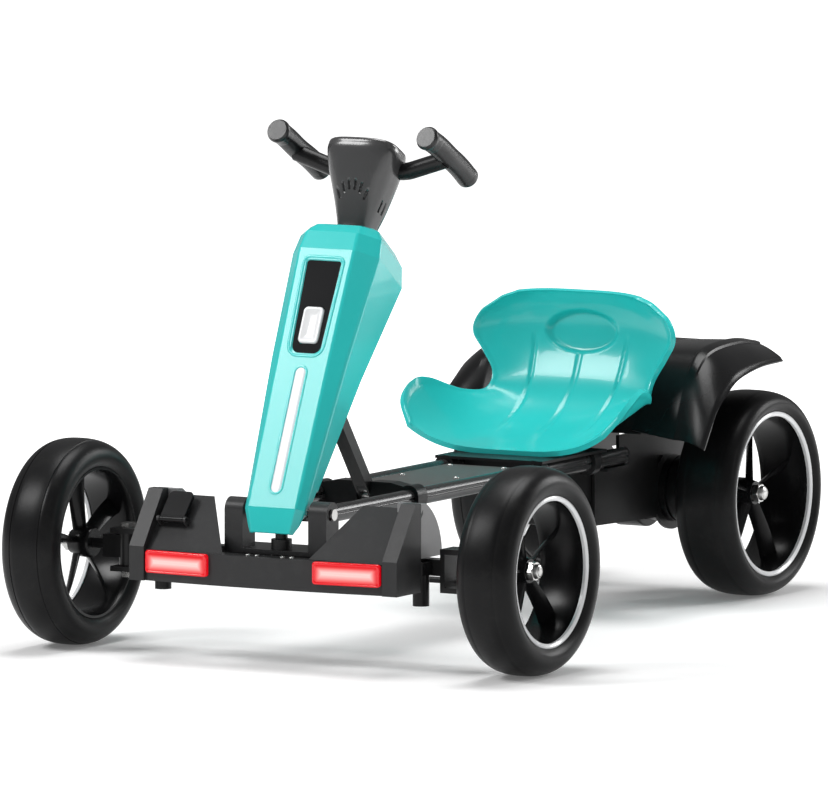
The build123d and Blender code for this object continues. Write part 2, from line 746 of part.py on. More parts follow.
with BuildPart() as battery_box:
    block(-BOX_HALF, BOX_HALF, 118, 290, BOX_LOW, BOX_TOP)
    fillet(battery_box.edges().filter_by(Axis.X), 5)
    with Locations((0, 204, BOX_LOW + 3)):
        Box(70, 164, 50, align=(Align.CENTER, Align.CENTER, Align.MIN), mode=Mode.SUBTRACT)
save(battery_box, "battery_box")

with BuildPart() as battery_lid:
    block(-BOX_HALF, BOX_HALF, 118, 290, BOX_TOP, BOX_TOP + 3.5)
save(battery_lid, "battery_lid")

with BuildPart() as battery:
    block(-34, 34, 128, 262, BOX_LOW + 3, BOX_TOP - 5)
save(battery, "battery")

# ---- rear: cowl and fenders ----
COWL_FRONT = 240.0
COWL_REAR = 372.0
COWL_TOP = 250.0
SKIN = 3.0

with BuildPart() as cowl:
    with BuildSketch(side_plane(-FENDER_IN)):
        with BuildLine():
            Polyline((232, 166), (COWL_FRONT, COWL_TOP - 12), (COWL_FRONT + 12, COWL_TOP),
                     (COWL_REAR - 18, COWL_TOP), (COWL_REAR, COWL_TOP - 18), (COWL_REAR, 166), close=True)
        make_face()
    extrude(amount=2 * FENDER_IN)
    with BuildSketch(side_plane(-FENDER_IN + SKIN)):
        with BuildLine():
            Polyline((232 + SKIN, 165), (COWL_FRONT + SKIN, COWL_TOP - 13), (COWL_FRONT + 13, COWL_TOP - SKIN),
                     (COWL_REAR - 19, COWL_TOP - SKIN), (COWL_REAR - SKIN, COWL_TOP - 19),
                     (COWL_REAR - SKIN, 165), close=True)
        make_face()
    extrude(amount=2 * (FENDER_IN - SKIN), mode=Mode.SUBTRACT)
    with BuildSketch(Plane.XY.offset(COWL_TOP - 10)):
        with Locations((0, COWL_FRONT + 28)):
            SlotOverall(76, 16)
    extrude(amount=20, mode=Mode.SUBTRACT)
save(cowl, "cowl")

# outer profile (Y, Z) of a fender at its inner edge, crown and outer edge
FENDER_CROWN = 112.0
FENDER_INNER = [(214, 172), (232, 212), (250, 240), (275, 250), (330, 252), (372, 246)]
FENDER_TOP = [(206, 166), (226, 212), (248, 241), (275, 252), (330, 254), (372, 248)]
FENDER_EDGE = [(189, 160), (214, 192), (240, 211), (266, 224), (310, 232), (356, 234)]


def fender_section(x, outer, side):
    inner = [(y + 2.2, z - SKIN) for y, z in reversed(outer)]
    with BuildSketch(side_plane(side * x)) as section:
        with BuildLine():
            outside = Spline(*outer)
            inside = Spline(*inner)
            Line(outside @ 1, inside @ 0)
            Line(inside @ 1, outside @ 0)
        make_face()
    return section.sketch


with BuildPart() as fenders:
    for side in SIDES.values():
        add(loft([fender_section(FENDER_IN, FENDER_INNER, side),
                  fender_section(FENDER_CROWN, FENDER_TOP, side)], ruled=True))
        add(loft([fender_section(FENDER_CROWN, FENDER_TOP, side),
                  fender_section(FENDER_OUT, FENDER_EDGE, side)], ruled=True))
save(fenders, "fenders")

# ---- nose ----
PANEL_LOW = (-403.0, 106.0)
PANEL_TOP = (-358.0, 155.0)
PANEL_NORMAL = (0, -0.7365, 0.6764)
PANEL_RISE = (0, 0.6764, 0.7365)
PEDAL_X = -112.0
PEDAL_HALF = 13.0
PEDAL_PIN = 1.5
pedal_plane = Plane(origin=(PEDAL_X, -366, 154), x_dir=(1, 0, 0), z_dir=PANEL_NORMAL)


def pedal_hinge(x):
    """Plane across the accelerator's pin: sketch (up the panel, away from it)."""
    pin = pedal_plane.from_local_coords(Vector(x, -29, 2))
    return Plane(origin=pin, x_dir=PANEL_RISE, z_dir=(1, 0, 0))



with BuildPart() as nose_shell:
    for side in SIDES.values():
        with BuildSketch(side_plane(side * 38)):
            with BuildLine():
                Polyline(PANEL_LOW, PANEL_TOP, (PANEL_TOP[0], PANEL_TOP[1] - 4.5),
                         (PANEL_LOW[0] + 4.5, PANEL_LOW[1]), close=True)
            make_face()
        extrude(amount=side * (NOSE_HALF - 38))
    for side in SIDES.values():
        with BuildSketch(Plane.XY.offset(90)):
            with BuildLine():
                Polyline((side * 30, -410), (side * 42, -410), (side * 88, -350), (side * 30, -350), close=True)
            make_face()
        extrude(amount=80, mode=Mode.SUBTRACT)
    with BuildSketch(Plane.XY.offset(NOSE_LOW)):
        with BuildLine():
            ThreePointArc((-NOSE_HALF, NOSE_FRONT), (0, NOSE_FRONT - NOSE_BOW), (NOSE_HALF, NOSE_FRONT))
            Line((NOSE_HALF, NOSE_FRONT), (NOSE_HALF, NOSE_FRONT + 4))
            ThreePointArc((NOSE_HALF, NOSE_FRONT + 4), (0, NOSE_FRONT - NOSE_BOW + 4),
                          (-NOSE_HALF, NOSE_FRONT + 4))
            Line((-NOSE_HALF, NOSE_FRONT + 4), (-NOSE_HALF, NOSE_FRONT))
        make_face()
    extrude(amount=30)
    with BuildSketch(Plane.XY.offset(NOSE_LOW + 26)):
        with BuildLine():
            ThreePointArc((-NOSE_HALF, NOSE_FRONT), (0, NOSE_FRONT - NOSE_BOW), (NOSE_HALF, NOSE_FRONT))
            Polyline((NOSE_HALF, NOSE_FRONT), (NOSE_HALF, -386), (-NOSE_HALF, -386), (-NOSE_HALF, NOSE_FRONT))
        make_face()
    extrude(amount=3)
    for side in SIDES.values():
        with BuildSketch(side_plane(side * (NOSE_HALF - FIN))):
            with BuildLine():
                Polyline((-409, NOSE_LOW), (-409, 109), (-372, 161), (-362, 161),
                         (-362, NOSE_LOW), close=True)
            make_face()
        extrude(amount=side * FIN)
        with BuildSketch(side_plane(side * (NOSE_HALF - FIN + SKIN))):
            with BuildLine():
                Polyline((-404, NOSE_LOW - 1), (-404, 107), (-371, 156), (-365, 156),
                         (-365, NOSE_LOW - 1), close=True)
            make_face()
        extrude(amount=side * (FIN - 2 * SKIN), mode=Mode.SUBTRACT)
    for x in (-PEDAL_HALF - 3, PEDAL_HALF + 0.3):
        with BuildSketch(pedal_hinge(x)):
            Circle(3.2)
            with Locations((0, -4)):
                Rectangle(6.4, 8.4)
            Circle(PEDAL_PIN + FIT, mode=Mode.SUBTRACT)
        extrude(amount=2.7)
save(nose_shell, "nose_shell")

with BuildPart() as footrests:
    for side in SIDES.values():
        with BuildSketch(side_plane(side * (NOSE_HALF - FIN - 10))):
            with BuildLine():
                Polyline((-321, 108), (-361.5, 108), (-361.5, 160), (-352, 160))
                ThreePointArc((-352, 160), (-330, 140), (-321, 108))
            make_face()
        extrude(amount=side * (FIN + 10))
    add(nose_shell.part, mode=Mode.SUBTRACT)
save(footrests, "footrests")

LAMP_IN = 58.0
LAMP_OUT = 129.0
with BuildPart() as lamps:
    for side in SIDES.values():
        with BuildSketch(Plane.XY.offset(84)):
            with BuildLine():
                Polyline((side * LAMP_IN, -416), (side * LAMP_OUT, -410.5), (side * LAMP_OUT, -404.5),
                         (side * LAMP_IN, -409.8), close=True)
            make_face()
        extrude(amount=22)
    add(nose_shell.part, mode=Mode.SUBTRACT)
save(lamps, "lamps")

# ---- accelerator plate above the driver's right nose panel ----
with BuildPart() as accelerator:
    with BuildSketch(pedal_plane):
        with Locations((0, -13)):
            RectangleRounded(2 * PEDAL_HALF, 32, 5)
        with Locations((0, -23)):
            Rectangle(2 * PEDAL_HALF, 12)
    extrude(amount=4)
    with BuildSketch(pedal_hinge(-PEDAL_HALF + 0.4)):
        Circle(3)
    extrude(amount=2 * PEDAL_HALF - 0.8)
    with BuildSketch(pedal_hinge(-PEDAL_HALF - 3)):
        Circle(PEDAL_PIN)
    extrude(amount=2 * PEDAL_HALF + 6)
save(accelerator, "accelerator")

# ---- seat: a scooped shell on a base that slides along the rails ----
# each station of the shell: (Y, Z) on the centre line, half width, height of the rim
SEAT_STATIONS = [
    (70, 162, 108, 22), (84, 163.5, 121, 40), (100, 166, 125, 50), (120, 169.5, 125, 55),
    (142, 175, 122, 50), (163, 182.5, 115, 37), (181, 192.5, 103, 19), (196, 205, 91, 5),
    (208, 221, 90, 6), (217, 240, 102, 14), (222, 256, 111, 20), (224.5, 272, 110, 21),
    (224, 288, 101, 18), (221, 300, 84, 12), (219, 306, 66, 8),
]
RIM_CURVE = 3.5
SEAT_ACROSS = 5


def seat_section(i):
    """Closed band across the shell at one station, lifted towards the rim."""
    y, z, half, rise = SEAT_STATIONS[i]
    ahead = SEAT_STATIONS[min(i + 1, len(SEAT_STATIONS) - 1)]
    behind = SEAT_STATIONS[max(i - 1, 0)]
    heading = Vector(0, ahead[0] - behind[0], ahead[1] - behind[1])
    across = [j / SEAT_ACROSS for j in range(-SEAT_ACROSS, SEAT_ACROSS + 1)]
    top = [(half * a, rise * abs(a) ** RIM_CURVE) for a in across]
    under = [(x, lift - SEAT_THICK) for x, lift in reversed(top)]
    with BuildSketch(Plane(origin=(0, y, z), x_dir=(1, 0, 0), z_dir=-heading)) as section:
        with BuildLine():
            upper = Spline(*top)
            lower = Spline(*under)
            Line(upper @ 1, lower @ 0)
            Line(lower @ 1, upper @ 0)
        make_face()
    return section.sketch


with BuildPart() as seat_shell:
    add(loft([seat_section(i) for i in range(len(SEAT_STATIONS))], ruled=True))
save(seat_shell, "seat_shell")

SEAT_FRONT = 34.0
SEAT_REAR = 165.0
PLATE_LOW = 155.2
PLATE_TOP = 158.0
with BuildPart() as seat_base:
    block(-60, 60, SEAT_FRONT, SEAT_REAR, PLATE_LOW, PLATE_TOP)
    block(-41.5, 41.5, 60, SEAT_REAR, 139, PLATE_LOW)
    for side in SIDES.values():
        for ring_rear in (SEAT_FRONT + 12, SEAT_FRONT + 118):
            with BuildSketch(cross_plane(side * RAIL_X, ring_rear, RAIL_Z)):
                SlotOverall(RAIL_TALL + 8, RAIL_WIDE + 8, rotation=90)
            extrude(amount=12)
        with BuildSketch(cross_plane(side * RAIL_X, SEAT_REAR + 1, RAIL_Z)):
            SlotOverall(RAIL_TALL + 0.7, RAIL_WIDE + 0.7, rotation=90)
        extrude(amount=SEAT_REAR - SEAT_FRONT + 2, mode=Mode.SUBTRACT)
    with BuildSketch(side_plane(-26)):
        with BuildLine():
            Polyline((87, 157), (87, 158.9), (101.5, 161.7), (121.5, 165), (144, 170.3), (165.3, 177.6),
                     (184, 187.2), (186, 180), (165, 157), close=True)
        make_face()
    extrude(amount=52)
save(seat_base, "seat_base")

with BuildPart() as seat_lugs:
    for x in (-45, -31, 31, 45):
        block(x - 4, x + 4, 88, 100, PLATE_TOP, 160.2)
save(seat_lugs, "seat_lugs")
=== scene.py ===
import json
import math

import bmesh
import bpy
from mathutils import Matrix, Vector


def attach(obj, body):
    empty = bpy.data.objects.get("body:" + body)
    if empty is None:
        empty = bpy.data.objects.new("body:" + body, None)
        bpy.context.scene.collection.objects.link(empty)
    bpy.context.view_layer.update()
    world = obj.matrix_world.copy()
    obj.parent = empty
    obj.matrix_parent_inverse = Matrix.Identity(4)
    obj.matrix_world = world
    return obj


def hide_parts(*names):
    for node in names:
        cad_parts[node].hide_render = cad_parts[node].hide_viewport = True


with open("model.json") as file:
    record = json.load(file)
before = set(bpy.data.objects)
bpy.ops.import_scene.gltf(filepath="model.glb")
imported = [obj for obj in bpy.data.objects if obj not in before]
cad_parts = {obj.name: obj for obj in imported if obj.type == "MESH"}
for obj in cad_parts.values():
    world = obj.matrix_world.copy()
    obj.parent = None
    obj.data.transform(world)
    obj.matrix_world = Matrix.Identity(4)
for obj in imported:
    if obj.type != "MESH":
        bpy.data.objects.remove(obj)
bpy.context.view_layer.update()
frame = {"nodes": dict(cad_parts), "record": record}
nodes = frame["nodes"]

# ---- places taken from the frame, in metres ----
SIDES = {"left": 1, "right": -1}
fold = Vector((0.0, -0.372, 0.146))
column_lean = math.radians(26.5)
steer_lean = math.radians(29.2)
face_lean = math.radians(24.0)
column_up = Vector((0, math.sin(column_lean), math.cos(column_lean)))
column_back = Vector((0, math.cos(column_lean), -math.sin(column_lean)))


# ---- material tools ----
def node(tree, kind, place=(0, 0), **values):
    made = tree.nodes.new(kind)
    made.location = place
    for name, value in values.items():
        if hasattr(made, name):
            setattr(made, name, value)
        else:
            made.inputs[name.replace("_", " ")].default_value = value
    return made


def finish_group():
    """Shared surface: broad colour drift, fine grain, scuffs; gives colour, roughness and bump."""
    group = bpy.data.node_groups.new("moulded surface", "ShaderNodeTree")
    face = group.interface
    for name, kind, start in (("Base", "NodeSocketColor", (0.5, 0.5, 0.5, 1)),
                              ("Worn", "NodeSocketColor", (0.7, 0.7, 0.7, 1)),
                              ("Grain Scale", "NodeSocketFloat", 900.0),
                              ("Grain Depth", "NodeSocketFloat", 0.1),
                              ("Roughness", "NodeSocketFloat", 0.4),
                              ("Roughness Drift", "NodeSocketFloat", 0.1),
                              ("Wear", "NodeSocketFloat", 0.1)):
        face.new_socket(name, in_out="INPUT", socket_type=kind).default_value = start
    for name, kind in (("Color", "NodeSocketColor"), ("Roughness", "NodeSocketFloat"),
                       ("Normal", "NodeSocketVector")):
        face.new_socket(name, in_out="OUTPUT", socket_type=kind)
    into = node(group, "NodeGroupInput", (-1100, 0))
    out = node(group, "NodeGroupOutput", (700, 0))
    place = node(group, "ShaderNodeTexCoord", (-1100, -300))
    drift = node(group, "ShaderNodeTexNoise", (-850, 250), Scale=9.0, Detail=3.0)
    grain = node(group, "ShaderNodeTexNoise", (-850, -250), Detail=4.0)
    scuff = node(group, "ShaderNodeTexNoise", (-850, 0), Scale=60.0, Detail=6.0, Roughness=0.7)
    edge = node(group, "ShaderNodeNewGeometry", (-850, -550))
    link = group.links.new
    for texture in (drift, grain, scuff):
        link(place.outputs["Object"], texture.inputs["Vector"])
    link(into.outputs["Grain Scale"], grain.inputs["Scale"])
    edge_ramp = node(group, "ShaderNodeMapRange", (-600, -550), From_Min=0.52, From_Max=0.62)
    link(edge.outputs["Pointiness"], edge_ramp.inputs["Value"])
    scuff_ramp = node(group, "ShaderNodeMapRange", (-600, 0), From_Min=0.5, From_Max=0.75)
    link(scuff.outputs["Fac"], scuff_ramp.inputs["Value"])
    worn = node(group, "ShaderNodeMath", (-400, -200), operation="ADD")
    link(edge_ramp.outputs["Result"], worn.inputs[0])
    link(scuff_ramp.outputs["Result"], worn.inputs[1])
    amount = node(group, "ShaderNodeMath", (-200, -200), operation="MULTIPLY", use_clamp=True)
    link(worn.outputs[0], amount.inputs[0])
    link(into.outputs["Wear"], amount.inputs[1])
    mix = node(group, "ShaderNodeMix", (0, 200), data_type="RGBA")
    link(amount.outputs[0], mix.inputs["Factor"])
    link(into.outputs["Base"], mix.inputs["A"])
    link(into.outputs["Worn"], mix.inputs["B"])
    shade = node(group, "ShaderNodeHueSaturation", (250, 200))
    value = node(group, "ShaderNodeMapRange", (0, 420), To_Min=0.94, To_Max=1.06)
    link(drift.outputs["Fac"], value.inputs["Value"])
    link(value.outputs["Result"], shade.inputs["Value"])
    link(mix.outputs["Result"], shade.inputs["Color"])
    link(shade.outputs["Color"], out.inputs["Color"])
    centred = node(group, "ShaderNodeMath", (-400, 80), operation="SUBTRACT")
    link(drift.outputs["Fac"], centred.inputs[0])
    centred.inputs[1].default_value = 0.5
    rough = node(group, "ShaderNodeMath", (250, -50), operation="MULTIPLY_ADD", use_clamp=True)
    link(centred.outputs[0], rough.inputs[0])
    link(into.outputs["Roughness Drift"], rough.inputs[1])
    link(into.outputs["Roughness"], rough.inputs[2])
    link(rough.outputs[0], out.inputs["Roughness"])
    bump = node(group, "ShaderNodeBump", (250, -300), Distance=0.0004)
    link(into.outputs["Grain Depth"], bump.inputs["Strength"])
    link(grain.outputs["Fac"], bump.inputs["Height"])
    link(bump.outputs["Normal"], out.inputs["Normal"])
    return group


surface = finish_group()


def moulded(name, base, worn, rough, drift=0.12, grain=900.0, depth=0.12, wear=0.15, metal=0.0, coat=0.0,
            specular=0.5):
    """A material that takes colour, roughness and bump from the shared surface."""
    made = bpy.data.materials.new(name)
    made.use_nodes = True
    tree = made.node_tree
    shader = tree.nodes["Principled BSDF"]
    look = tree.nodes.new("ShaderNodeGroup")
    look.node_tree = surface
    look.location = (-300, 0)
    look.inputs["Base"].default_value = (*base, 1)
    look.inputs["Worn"].default_value = (*worn, 1)
    look.inputs["Roughness"].default_value = rough
    look.inputs["Roughness Drift"].default_value = drift
    look.inputs["Grain Scale"].default_value = grain
    look.inputs["Grain Depth"].default_value = depth
    look.inputs["Wear"].default_value = wear
    tree.links.new(look.outputs["Color"], shader.inputs["Base Color"])
    tree.links.new(look.outputs["Roughness"], shader.inputs["Roughness"])
    tree.links.new(look.outputs["Normal"], shader.inputs["Normal"])
    shader.inputs["Metallic"].default_value = metal
    shader.inputs["Coat Weight"].default_value = coat
    shader.inputs["Specular IOR Level"].default_value = specular
    return made


teal = moulded("teal gloss plastic", (0.024, 0.55, 0.53), (0.12, 0.66, 0.64), 0.24, grain=500, depth=0.03,
               wear=0.05, coat=0.25, specular=0.35)
smoked = moulded("smoked window", (0.004, 0.004, 0.005), (0.01, 0.01, 0.01), 0.35, depth=0.01, wear=0.02,
                 specular=0.04)
dark_plastic = moulded("dark grey textured plastic", (0.022, 0.022, 0.023), (0.07, 0.07, 0.07), 0.36,
                       grain=1500, depth=0.25, specular=0.24)
black_plastic = moulded("black textured plastic", (0.006, 0.006, 0.0065), (0.03, 0.03, 0.03), 0.34,
                        grain=1500, depth=0.2, specular=0.2)
piano_black = moulded("polished black plastic", (0.006, 0.006, 0.007), (0.03, 0.03, 0.03), 0.12, depth=0.02,
                      wear=0.05, coat=0.5)
rubber = moulded("tyre rubber", (0.006, 0.006, 0.0065), (0.03, 0.029, 0.027), 0.36, drift=0.2, grain=700,
                 depth=0.25, wear=0.2, specular=0.16)
soft_grip = moulded("grip rubber", (0.0055, 0.006, 0.0065), (0.03, 0.03, 0.03), 0.3, grain=1800, depth=0.2,
                    specular=0.5)
white_ring = moulded("white trim plastic", (0.78, 0.79, 0.8), (0.6, 0.6, 0.6), 0.22, depth=0.03, wear=0.08,
                     coat=0.3)
black_rim = moulded("rim plastic", (0.005, 0.005, 0.0055), (0.025, 0.025, 0.025), 0.24, depth=0.05, wear=0.08,
                    specular=0.22)
zinc = moulded("zinc plated steel", (0.56, 0.56, 0.55), (0.35, 0.34, 0.32), 0.28, drift=0.3, grain=400,
               depth=0.1, wear=0.25, metal=1.0)
powder_black = moulded("black powder coat", (0.007, 0.007, 0.0075), (0.05, 0.05, 0.05), 0.32, grain=1100,
                       depth=0.2, wear=0.15, specular=0.22)
black_anodised = moulded("black anodised rail", (0.02, 0.02, 0.021), (0.15, 0.15, 0.15), 0.2, grain=900,
                         depth=0.05, wear=0.15, metal=0.35)
floor_grey = moulded("grey floor plate", (0.045, 0.044, 0.043), (0.12, 0.115, 0.11), 0.45,
                     grain=1200, depth=0.25, wear=0.25)
rest_grey = moulded("light grey rest plastic", (0.20, 0.20, 0.205), (0.35, 0.35, 0.35), 0.34,
                    grain=1200, depth=0.15)
cell_wrap = moulded("battery case", (0.03, 0.05, 0.09), (0.1, 0.1, 0.12), 0.45)


def glowing(name, core, rim, strength):
    """A lens that is brightest in its middle and deep coloured at its rim."""
    made = bpy.data.materials.new(name)
    made.use_nodes = True
    tree = made.node_tree
    shader = tree.nodes["Principled BSDF"]
    place = node(tree, "ShaderNodeTexCoord", (-1000, 0))
    speck = node(tree, "ShaderNodeTexNoise", (-800, -300), Scale=300.0)
    tree.links.new(place.outputs["Object"], speck.inputs["Vector"])
    mix = node(tree, "ShaderNodeMix", (-300, 0), data_type="RGBA")
    mix.inputs["A"].default_value = (*rim, 1)
    mix.inputs["B"].default_value = (*core, 1)
    bump = node(tree, "ShaderNodeBump", (-300, -300), Strength=0.05, Distance=0.0003)
    tree.links.new(speck.outputs["Fac"], bump.inputs["Height"])
    tree.links.new(bump.outputs["Normal"], shader.inputs["Normal"])
    glow = node(tree, "ShaderNodeAttribute", (-800, 0), attribute_name="glow")
    tree.links.new(glow.outputs["Fac"], mix.inputs["Factor"])
    tree.links.new(mix.outputs["Result"], shader.inputs["Base Color"])
    tree.links.new(mix.outputs["Result"], shader.inputs["Emission Color"])
    shader.inputs["Emission Strength"].default_value = strength
    shader.inputs["Roughness"].default_value = 0.15
    return made


fender_black = moulded("satin black fender plastic", (0.006, 0.006, 0.0065), (0.03, 0.03, 0.03), 0.28,
                       grain=1300, depth=0.12, wear=0.1, specular=0.25)
lamp_glow = glowing("red lamp lens", (1.0, 0.60, 0.56), (0.42, 0.0, 0.004), 1.1)
strip_glow = glowing("white light strip", (0.86, 0.84, 0.86), (0.55, 0.6, 0.62), 0.3)
teal_edge = moulded("light teal edge", (0.06, 0.62, 0.60), (0.2, 0.75, 0.73), 0.2,
                    grain=500, depth=0.02, wear=0.05, coat=0.3)
# Black head plastic whose base colour is lifted to dark grey: a painted sheen that stands in for the
# highlight on the head's front face.
head_painted_sheen = moulded("black head plastic with painted sheen", (0.045, 0.045, 0.046), (0.09, 0.09, 0.09), 0.24, grain=1500,
                     depth=0.08, wear=0.08, coat=0.35)

FINISHES = {
    "tyre": rubber, "rim": black_rim, "ring": white_ring, "steel": zinc, "black_metal": powder_black,
    "rail": black_anodised, "grey_plastic": dark_plastic, "black_plastic": black_plastic, "teal": teal,
    "black_gloss": piano_black, "lamp_red": lamp_glow, "diffuser": strip_glow, "grip": soft_grip,
    "battery": cell_wrap,
}
slots = {row["node"]: row["material_slot"] for row in frame["record"]["subparts"]}


def dress(name, material):
    data = nodes[name].data
    data.materials.clear()
    data.materials.append(material)


for name in nodes:
    dress(name, FINISHES[slots[name]])
dress("floor_plate", floor_grey)
dress("column_window", smoked)
dress("footrests", rest_grey)


# ---- mesh tools ----
def piece(name, points, faces, material, smooth=40):
    """A mesh object in the frame, with outward normals."""
    data = bpy.data.meshes.new(name)
    data.from_pydata([tuple(p) for p in points], [], faces)
    shape = bmesh.new()
    shape.from_mesh(data)
    bmesh.ops.remove_doubles(shape, verts=shape.verts, dist=1e-6)
    bmesh.ops.recalc_face_normals(shape, faces=shape.faces)
    shape.to_mesh(data)
    shape.free()
    data.materials.append(material)
    data.polygons.foreach_set("use_smooth", [True] * len(data.polygons))
    data.set_sharp_from_angle(angle=math.radians(smooth))
    made = bpy.data.objects.new(name, data)
    bpy.context.collection.objects.link(made)
    return made


def grid_faces(rows, columns, closed_rows=False, closed_columns=False):
    """Quads over rows x columns points, row by row."""
    faces = []
    for i in range(rows if closed_rows else rows - 1):
        for j in range(columns if closed_columns else columns - 1):
            here, after, beside = i * columns, (i + 1) % rows * columns, (j + 1) % columns
            faces.append((here + j, here + beside, after + beside, after + j))
    return faces


def capped(rows, around):
    """Faces of a closed body through rows of points, flat at both ends."""
    last = rows * around - 1
    return grid_faces(rows, around, closed_columns=True) + [tuple(range(around)),
                                                            tuple(last - j for j in range(around))]


def border(rows, columns):
    """Numbers of the points round the edge of a grid, in order."""
    last = (rows - 1) * columns
    return (list(range(columns)) + [i * columns + columns - 1 for i in range(1, rows)]
            + [last + j for j in range(columns - 2, -1, -1)] + [i * columns for i in range(rows - 2, 0, -1)])


def turned(name, outline, side, place, material, turns=128, smooth=40):
    """Turns a closed outline of (outwards, radius) about a wheel's axis."""
    x, y, z = place
    points = []
    for i in range(turns):
        angle = 2 * math.pi * i / turns
        for outwards, radius in outline:
            points.append((side * (x + outwards), y + radius * math.cos(angle), z + radius * math.sin(angle)))
    faces = grid_faces(turns, len(outline), closed_rows=True, closed_columns=True)
    return piece(name, points, faces, material, smooth)


def tube(points, radii, around=24):
    """Points and faces of a closed tube along points, with its own radius at each."""
    made = []
    count = len(points)
    ahead = [(points[min(i + 1, count - 1)] - points[max(i - 1, 0)]).normalized() for i in range(count)]
    cross = ahead[0].orthogonal().normalized()
    for i, (point, radius) in enumerate(zip(points, radii)):
        cross = (cross - ahead[i] * cross.dot(ahead[i])).normalized()
        other = ahead[i].cross(cross)
        for j in range(around):
            angle = 2 * math.pi * j / around
            made.append(point + (cross * math.cos(angle) + other * math.sin(angle)) * radius)
    return made, capped(count, around)


def rounded_loop(corners, radii, steps=7):
    """Points round a convex flat outline with an arc at each corner."""
    made = []
    for i, (corner, radius) in enumerate(zip(corners, radii)):
        here = Vector(corner)
        back = (Vector(corners[i - 1]) - here).normalized()
        ahead = (Vector(corners[(i + 1) % len(corners)]) - here).normalized()
        half = back.angle(ahead) / 2
        centre = here + (back + ahead).normalized() * radius / math.sin(half)
        reach = radius / math.tan(half)
        start, end = here + back * reach - centre, here + ahead * reach - centre
        turn = start.angle_signed(end)
        for k in range(steps + 1):
            angle = -turn * k / steps
            made.append((centre.x + start.x * math.cos(angle) - start.y * math.sin(angle),
                         centre.y + start.x * math.sin(angle) + start.y * math.cos(angle)))
    return made


def rounded_box(rise, wide, tall, radius, steps=7):
    """Rounded rectangle about (0, rise), from its half width and half height."""
    corners = [(wide, rise + tall), (-wide, rise + tall), (-wide, rise - tall), (wide, rise - tall)]
    return rounded_loop(corners, [radius] * 4, steps)


def stacked(name, outline, rows, place, material, smooth=35, ring=False):
    """A body through flat outlines: rows of (growth of the outline, height above its plane)."""
    points = [place(u, v, lift) for grow, lift in rows for u, v in outline(grow)]
    columns = len(points) // len(rows)
    if ring:
        faces = grid_faces(len(rows), columns, closed_rows=True, closed_columns=True)
    else:
        faces = capped(len(rows), columns)
    return piece(name, points, faces, material, smooth)


def set_glow(made, share):
    """Stores how bright a lens is at each of its points."""
    glow = made.data.attributes.new("glow", "FLOAT", "POINT")
    for i, vertex in enumerate(made.data.vertices):
        glow.data[i].value = share(vertex.co)


def smooth_line(stations, steps):
    """Catmull-Rom line through rows of numbers, with steps between each two."""
    ends = [[2 * a - b for a, b in zip(stations[0], stations[1])],
            [2 * a - b for a, b in zip(stations[-1], stations[-2])]]
    rows = [ends[0]] + [list(row) for row in stations] + [ends[1]]
    made = []
    for i in range(1, len(rows) - 2):
        for k in range(steps):
            t = k / steps
            made.append([0.5 * (2 * b + (c - a) * t + (2 * a - 5 * b + 4 * c - d) * t ** 2
                                + (3 * b - a - 3 * c + d) * t ** 3)
                         for a, b, c, d in zip(rows[i - 1], rows[i], rows[i + 1], rows[i + 2])])
    made.append(list(stations[-1]))
    return made


# ---- repeated pieces, by geometry nodes ----
def copy_tree(name, *extra):
    """Starts a tree that copies its source object; extra holds (name, kind) of further inputs."""
    tree = bpy.data.node_groups.new(name, "GeometryNodeTree")
    sockets = (("Geometry", "NodeSocketGeometry"), ("Source", "NodeSocketObject"), *extra,
               ("Material", "NodeSocketMaterial"))
    for label, kind in sockets:
        tree.interface.new_socket(label, in_out="INPUT", socket_type=kind)
    tree.interface.new_socket("Geometry", in_out="OUTPUT", socket_type="NodeSocketGeometry")
    into = node(tree, "NodeGroupInput", (-900, 0))
    source = node(tree, "GeometryNodeObjectInfo", (-650, -150))
    tree.links.new(into.outputs["Source"], source.inputs["Object"])
    copies = node(tree, "GeometryNodeInstanceOnPoints", (50, 0))
    tree.links.new(source.outputs["Geometry"], copies.inputs["Instance"])
    real = node(tree, "GeometryNodeRealizeInstances", (250, 0))
    tree.links.new(copies.outputs[0], real.inputs[0])
    paint = node(tree, "GeometryNodeSetMaterial", (450, 0))
    tree.links.new(real.outputs[0], paint.inputs["Geometry"])
    tree.links.new(into.outputs["Material"], paint.inputs["Material"])
    out = node(tree, "NodeGroupOutput", (700, 0))
    tree.links.new(paint.outputs[0], out.inputs[0])
    return tree, into, copies


def ring_tree():
    """Copies the source around the X axis, as often as the count says."""
    tree, into, copies = copy_tree("copies around a wheel", ("Count", "NodeSocketInt"))
    link = tree.links.new
    line = node(tree, "GeometryNodeMeshLine", (-650, 150))
    line.inputs["Offset"].default_value = (0, 0, 0)
    link(into.outputs["Count"], line.inputs["Count"])
    index = node(tree, "GeometryNodeInputIndex", (-650, -400))
    share = node(tree, "ShaderNodeMath", (-450, -400), operation="DIVIDE")
    link(index.outputs[0], share.inputs[0])
    link(into.outputs["Count"], share.inputs[1])
    angle = node(tree, "ShaderNodeMath", (-250, -400), operation="MULTIPLY")
    angle.inputs[1].default_value = 2 * math.pi
    link(share.outputs[0], angle.inputs[0])
    turn = node(tree, "ShaderNodeCombineXYZ", (-50, -400))
    link(angle.outputs[0], turn.inputs["X"])
    link(line.outputs["Mesh"], copies.inputs["Points"])
    link(turn.outputs[0], copies.inputs["Rotation"])
    return tree


def scatter_tree():
    """Copies the source onto the points of the mesh."""
    tree, into, copies = copy_tree("copies on points")
    tree.links.new(into.outputs["Geometry"], copies.inputs["Points"])
    return tree


copies_around = ring_tree()
copies_on_points = scatter_tree()


